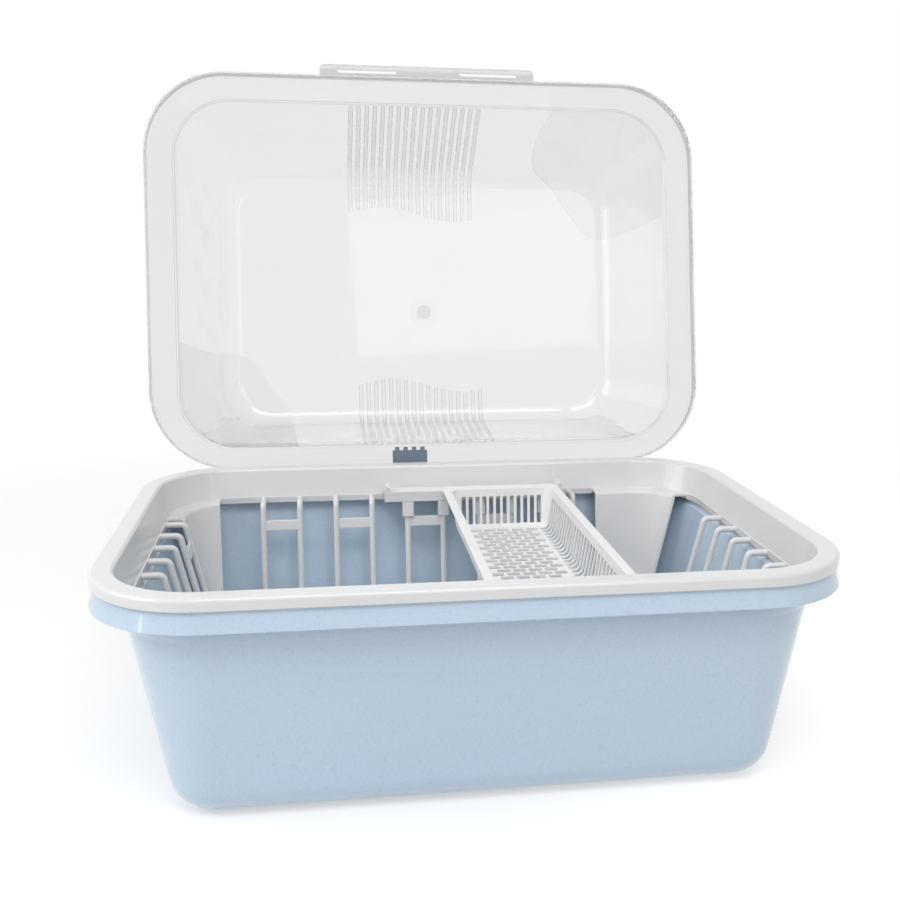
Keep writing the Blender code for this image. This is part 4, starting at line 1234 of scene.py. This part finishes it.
def hook(x):
    """A hook that comes down from the clip's plate and wraps round the hinge pin."""
    inner = PIN_RADIUS + GAP
    outer = inner + HOOK_THICKNESS
    low, high = LID_LOW - HINGE.z, LID_HIGH - HINGE.z
    plate = -CLIP_EDGE - 2 * WALL
    front = outer * math.cos(math.radians(HOOK_ROOT_FRONT))
    back = outer * math.cos(math.radians(HOOK_ROOT_BACK))
    section = [(plate, high), (plate, low), (front, low)]
    section += arc(outer, HOOK_ROOT_FRONT, HOOK_TIP, HOOK_STEPS[0])
    section += arc(inner, HOOK_TIP, HOOK_HEEL, HOOK_STEPS[1])
    section += arc(outer, HOOK_HEEL, HOOK_ROOT_BACK, HOOK_STEPS[2])
    section += [(back, high - WALL / 2), (back - WALL / 2, high)]
    return [[HINGE + Vector((side, y, z)) for y, z in section] for side in about(x, HOOK_WIDTH)]


def clip_body():
    """The slate clip as the cover lies closed."""
    body = solid("clip", [clip_plate()])
    combine(body, solid("prongs", clip_prongs()), "UNION")
    hooks = in_rows(solid("hook", [hook(clip_places()[0])]), HOOKS, (HOOK_PITCH, 0, 0))
    combine(body, hooks, "UNION")
    return softened(body, settings().edge)


# Finishes


def new_finish(name):
    """A new material, its tree, its shader, and the place on the piece that its patterns follow."""
    material = bpy.data.materials.new(name)
    material.use_nodes = True
    tree = material.node_tree
    place = add_node(tree, "ShaderNodeTexCoord").outputs["Object"]
    return material, tree, tree.nodes["Principled BSDF"], place


def noise(tree, place, scale, detail=2):
    wires = [("Vector", place), ("Scale", scale), ("Detail", detail)]
    return add_node(tree, "ShaderNodeTexNoise", wires).outputs["Fac"]


def ranged(tree, value, low, high, to_low=0, to_high=1):
    """A value carried from one range over to another."""
    wires = [("Value", value), ("From Min", low), ("From Max", high), ("To Min", to_low), ("To Max", to_high)]
    return add_node(tree, "ShaderNodeMapRange", wires).outputs["Result"]


def reckoned(tree, operation, *values):
    """A sum of sockets and plain numbers."""
    return add_node(tree, "ShaderNodeMath", enumerate(values), operation=operation).outputs[0]


def scaled_colour(colour, factor):
    return (*[min(1.0, channel * factor) for channel in colour], 1.0)


def mixed(tree, share, first, second):
    """A colour between two, by a share. Each is a socket or a colour."""
    wires = [("Factor", share), (6, first), (7, second)]
    return add_node(tree, "ShaderNodeMix", wires, data_type="RGBA").outputs[2]


def bumped(tree, shader, height, strength, distance):
    """Gives the shader a relief in its surface."""
    wires = [("Height", height), ("Strength", strength), ("Distance", distance)]
    feed(tree, shader, [("Normal", add_node(tree, "ShaderNodeBump", wires).outputs["Normal"])])


def moulded_plastic(name, colour, roughness, mottle, grain, specks=0.0, gloss=0.0):
    """Satin plastic: slow changes of shade, specks, and the fine grain of its mould."""
    colour = getattr(colours(), colour)
    material, tree, shader, place = new_finish(name)
    slow = ranged(tree, noise(tree, place, MOTTLE_SCALE), *WIDE_SPAN)
    shade = mixed(tree, slow, scaled_colour(colour, 1 - mottle), scaled_colour(colour, 1 + mottle))
    if specks:
        for (scale, begin, full), tone in ((DARK_SPECKS, 1 - specks), (PALE_SPECKS, 1 + specks / 2)):
            dots = ranged(tree, noise(tree, place, scale), begin, full)
            shade = mixed(tree, dots, shade, scaled_colour(colour, tone))
    uneven = noise(tree, place, UNEVEN_SCALE)
    rough = ranged(tree, uneven, *MIDDLE_SPAN, roughness - UNEVENNESS, roughness + UNEVENNESS)
    feed(tree, shader, [("Base Color", shade), ("Roughness", rough), ("IOR", MOULDED_IOR)])
    feed(tree, shader, [("Coat Weight", gloss), ("Coat Roughness", GLOSS_ROUGHNESS)])
    bumped(tree, shader, noise(tree, place, GRAIN_SCALE), grain, GRAIN_DEPTH)
    return material


def clear_plastic(name, colour, edge, turned, roughness, wave, solidity):
    """Clear plastic: a faint haze, painted shade where it turns away from the camera, and the slow waves of
    its pressing.
    """
    colour = getattr(colours(), colour)
    material, tree, shader, place = new_finish(name)
    haze = ranged(tree, noise(tree, place, HAZE_SCALE), *WIDE_SPAN)
    flat = mixed(tree, haze, *[scaled_colour(colour, tone) for tone in HAZE_TONES])
    # Painted shade: the colour darkens towards the edge tone where a face turns away from the camera
    facing = add_node(tree, "ShaderNodeLayerWeight").outputs["Facing"]
    shade = mixed(tree, ranged(tree, facing, *turned), flat, scaled_colour(colour, edge))
    smear = noise(tree, place, SMEAR_SCALE, 3)
    rough = ranged(tree, smear, *NARROW_SPAN, *[roughness * share for share in SMEAR_SHARES])
    slow, fine = noise(tree, place, WAVE_SCALE, 1), noise(tree, place, RIPPLE_SCALE)
    bumped(tree, shader, reckoned(tree, "MULTIPLY_ADD", fine, RIPPLE_SHARE, slow), wave, WAVE_DEPTH)
    feed(tree, shader, [("Base Color", shade), ("Roughness", rough), ("IOR", CLEAR_IOR)])
    feed(tree, shader, [("Transmission Weight", 1.0), ("Alpha", solidity)])
    feed(tree, shader, [("Coat Weight", 1.0), ("Coat Roughness", CLEAR_GLOSS_ROUGHNESS)])
    return material


def finish_named(name):
    """The finish of that name, made the first time it is asked for."""
    if name in bpy.data.materials:
        return bpy.data.materials[name]
    if name in MOULDED:
        return moulded_plastic(name, **MOULDED[name])
    return clear_plastic(name, **CLEAR[name])


# Operators


class MakeTub(bpy.types.Operator):
    """Build the speckled blue tub"""

    bl_idname = "drainer.make_tub"
    bl_label = "Tub"

    def execute(self, context):
        finished(solid("tub_shell", [tub_rings()]), "base", ["tub"], "speckled_blue")
        return {"FINISHED"}


class MakeBasket(bpy.types.Operator):
    """Build the drainer basket with its windows, ribs, drain slots and hinge pin"""

    bl_idname = "drainer.make_basket"
    bl_label = "Drainer basket"

    def execute(self, context):
        basket = solid("basket_shell", [drainer_rings()])
        combine(basket, window_cutters(), "DIFFERENCE")
        for row in rib_rows():
            combine(basket, row_of_ribs(*row), "UNION")
        combine(basket, softened(solid("bars", crossbars()), settings().edge * 2), "UNION")
        combine(basket, drain_slots(), "DIFFERENCE")
        left, right = about(CLIP_X, CLIP_WIDTH)
        lugs = [hinge_lug(x) for x in (left - GAP - LUG_WIDTH, right + GAP)]
        combine(basket, solid("lugs", lugs), "UNION")
        ends = [Vector((x, HINGE.y, HINGE.z)) for x in about(CLIP_X, CLIP_WIDTH + LUG_WIDTH)]
        combine(basket, rod("pin", ends, PIN_RADIUS), "UNION")
        finished(basket, "drainer", ["drainer_basket"], "basket_white")
        return {"FINISHED"}


class MakeRails(bpy.types.Operator):
    """Build the two cross rails that carry the cutlery basket"""

    bl_idname = "drainer.make_rails"
    bl_label = "Cross rails"

    def execute(self, context):
        for side, wall in (("rear", REAR), ("front", FRONT)):
            piece, nodes = rail(f"{side}_rail", wall), [f"{side}_basket_bracket"]
            finished(piece, "drainer", nodes, "rail_white")
        return {"FINISHED"}


class MakeCutleryBasket(bpy.types.Operator):
    """Build the slotted cutlery basket"""

    bl_idname = "drainer.make_cutlery_basket"
    bl_label = "Cutlery basket"

    def execute(self, context):
        basket = solid("cutlery_holder", [cutlery_rings()])
        for cutter in cutlery_cutters() + floor_bricks():
            combine(basket, cutter, "DIFFERENCE")
        basket.data.transform(Matrix.Translation((CUTLERY_X, 0, 0)))
        finished(basket, "cutlery", ["cutlery_basket"], "cutlery_white")
        return {"FINISHED"}


class MakeCover(bpy.types.Operator):
    """Build the clear cover with its tab, grip ribs and frosted corners"""

    bl_idname = "drainer.make_cover"
    bl_label = "Cover"

    def execute(self, context):
        finished(opened(cover_body()), "cover", ["lid"], sharp=28)
        return {"FINISHED"}


class MakeClip(bpy.types.Operator):
    """Build the slate clip that holds the cover to the hinge pin"""

    bl_idname = "drainer.make_clip"
    bl_label = "Hinge clip"

    def execute(self, context):
        finished(opened(clip_body()), "cover", ["hinge_clip"], "slate")
        return {"FINISHED"}


def soft_lamp(name, place, target, width, height, power):
    lamp = bpy.data.lights.new(name, "AREA")
    lamp.shape = "RECTANGLE"
    lamp.size = width
    lamp.size_y = height
    lamp.energy = power
    thing = link(name, lamp)
    thing.location = place
    thing.rotation_euler = (Vector(target) - thing.location).to_track_quat("-Z", "Y").to_euler()


def camera():
    """The camera at the photograph's place, with its tilt and small shift."""
    yaw, pitch, roll = CAMERA_YAW, CAMERA_PITCH, CAMERA_ROLL
    forward = Vector((math.sin(yaw) * math.cos(pitch), math.cos(yaw) * math.cos(pitch), -math.sin(pitch)))
    level = Vector((math.cos(yaw), -math.sin(yaw), 0))
    upright = level.cross(forward)
    right = level * math.cos(roll) + upright * math.sin(roll)
    up = upright * math.cos(roll) - level * math.sin(roll)
    facing = Matrix((right, up, -forward)).transposed().to_4x4()
    lens = bpy.data.cameras.new("camera")
    lens.sensor_width = SENSOR_WIDTH
    lens.lens = CAMERA_LENS
    lens.shift_x, lens.shift_y = CAMERA_SHIFT
    lens.clip_start = NEAR_CLIP
    thing = link("camera", lens)
    thing.matrix_world = Matrix.Translation(CAMERA_PLACE) @ facing
    bpy.context.scene.camera = thing


def seen_directly(tree):
    """1 where the camera sees a surface, also in gloss and through the clear cover."""
    rays = add_node(tree, "ShaderNodeLightPath").outputs
    either = reckoned(tree, "MAXIMUM", rays["Is Camera Ray"], rays["Is Transmission Ray"])
    return reckoned(tree, "MAXIMUM", either, rays["Is Glossy Ray"])


def table_finish():
    """A pale table that keeps the shadow and is otherwise as white as the backdrop."""
    material, tree, shader, place = new_finish("table")
    tone = colours().table
    mottle = noise(tree, place, TABLE_MOTTLE_SCALE)
    shade = mixed(tree, mottle, scaled_colour(tone, 0.99), scaled_colour(tone, 1.01))
    distance = add_node(tree, "ShaderNodeVectorMath", [(0, place)], operation="LENGTH").outputs["Value"]
    far = ranged(tree, distance, *FAR_RANGE)
    seen = seen_directly(tree)
    seen_shade = mixed(tree, far, scaled_colour(tone, SEEN_TONE), BLACK)
    along = add_node(tree, "ShaderNodeSeparateXYZ", [("Vector", place)]).outputs["X"]
    wires = [(0, far), (2, ranged(tree, along, *NEAR_GLOW)), (3, FAR_GLOW)]
    glow = add_node(tree, "ShaderNodeMix", wires, data_type="FLOAT").outputs[0]
    feed(tree, shader, [("Base Color", mixed(tree, seen, shade, seen_shade)), ("Roughness", TABLE_ROUGHNESS)])
    feed(tree, shader, [("Specular IOR Level", 0.0), ("Emission Color", WHITE)])
    feed(tree, shader, [("Emission Strength", reckoned(tree, "MULTIPLY", seen, glow))])
    return material


def white_world():
    """Even pale light, brighter from above, with a white backdrop where it is seen."""
    world = bpy.data.worlds.new("studio")
    world.use_nodes = True
    tree = world.node_tree
    tree.nodes.clear()
    place = add_node(tree, "ShaderNodeTexCoord").outputs["Generated"]
    upward = add_node(tree, "ShaderNodeSeparateXYZ", [("Vector", place)]).outputs["Z"]
    wires = [(0, seen_directly(tree))]
    for i, strength in enumerate((ranged(tree, upward, 0, 1, *SKY_STRENGTHS), BACKDROP_STRENGTH)):
        light = add_node(tree, "ShaderNodeBackground", [("Color", WHITE), ("Strength", strength)])
        wires.append((i + 1, light.outputs[0]))
    surface = add_node(tree, "ShaderNodeMixShader", wires).outputs[0]
    add_node(tree, "ShaderNodeOutputWorld", [("Surface", surface)])
    bpy.context.scene.world = world


class MakeStage(bpy.types.Operator):
    """Lay the pale table and set the lamps, the white backdrop and the camera"""

    bl_idname = "drainer.make_stage"
    bl_label = "Stage"

    def execute(self, context):
        reach = (-TABLE_REACH, TABLE_REACH)
        table = solid("table", [block(reach, reach, TABLE_HEIGHTS)])
        table.data.materials.append(table_finish())
        white_world()
        for lamp in LAMPS:
            soft_lamp(*lamp)
        camera()
        context.scene.view_settings.view_transform = "Standard"
        return {"FINISHED"}


OPERATORS = (MakeTub, MakeBasket, MakeRails, MakeCutleryBasket, MakeCover, MakeClip, MakeStage)


class DrainerPanel(bpy.types.Panel):
    """Lists the sizes, the colours and the pieces"""

    bl_idname = "VIEW3D_PT_drainer"
    bl_label = "Covered dish drainer"
    bl_space_type = "VIEW_3D"
    bl_region_type = "UI"
    bl_category = "Drainer"

    def draw(self, context):
        for group in (context.scene.drainer_settings, context.scene.drainer_colours):
            box = self.layout.box()
            for name in group.__annotations__:
                box.prop(group, name)
        for operator in OPERATORS:
            self.layout.operator(operator.bl_idname)


CLASSES = (DrainerSettings, DrainerColours, *OPERATORS, DrainerPanel)


def register():
    for kind in CLASSES:
        bpy.utils.register_class(kind)
    bpy.types.Scene.drainer_settings = bpy.props.PointerProperty(type=DrainerSettings)
    bpy.types.Scene.drainer_colours = bpy.props.PointerProperty(type=DrainerColours)


def unregister():
    del bpy.types.Scene.drainer_colours
    del bpy.types.Scene.drainer_settings
    for kind in reversed(CLASSES):
        bpy.utils.unregister_class(kind)


def main():
    register()
    for operator in OPERATORS:
        group, name = operator.bl_idname.split(".")
        getattr(getattr(bpy.ops, group), name)()


if __name__ == "__main__":
    main()
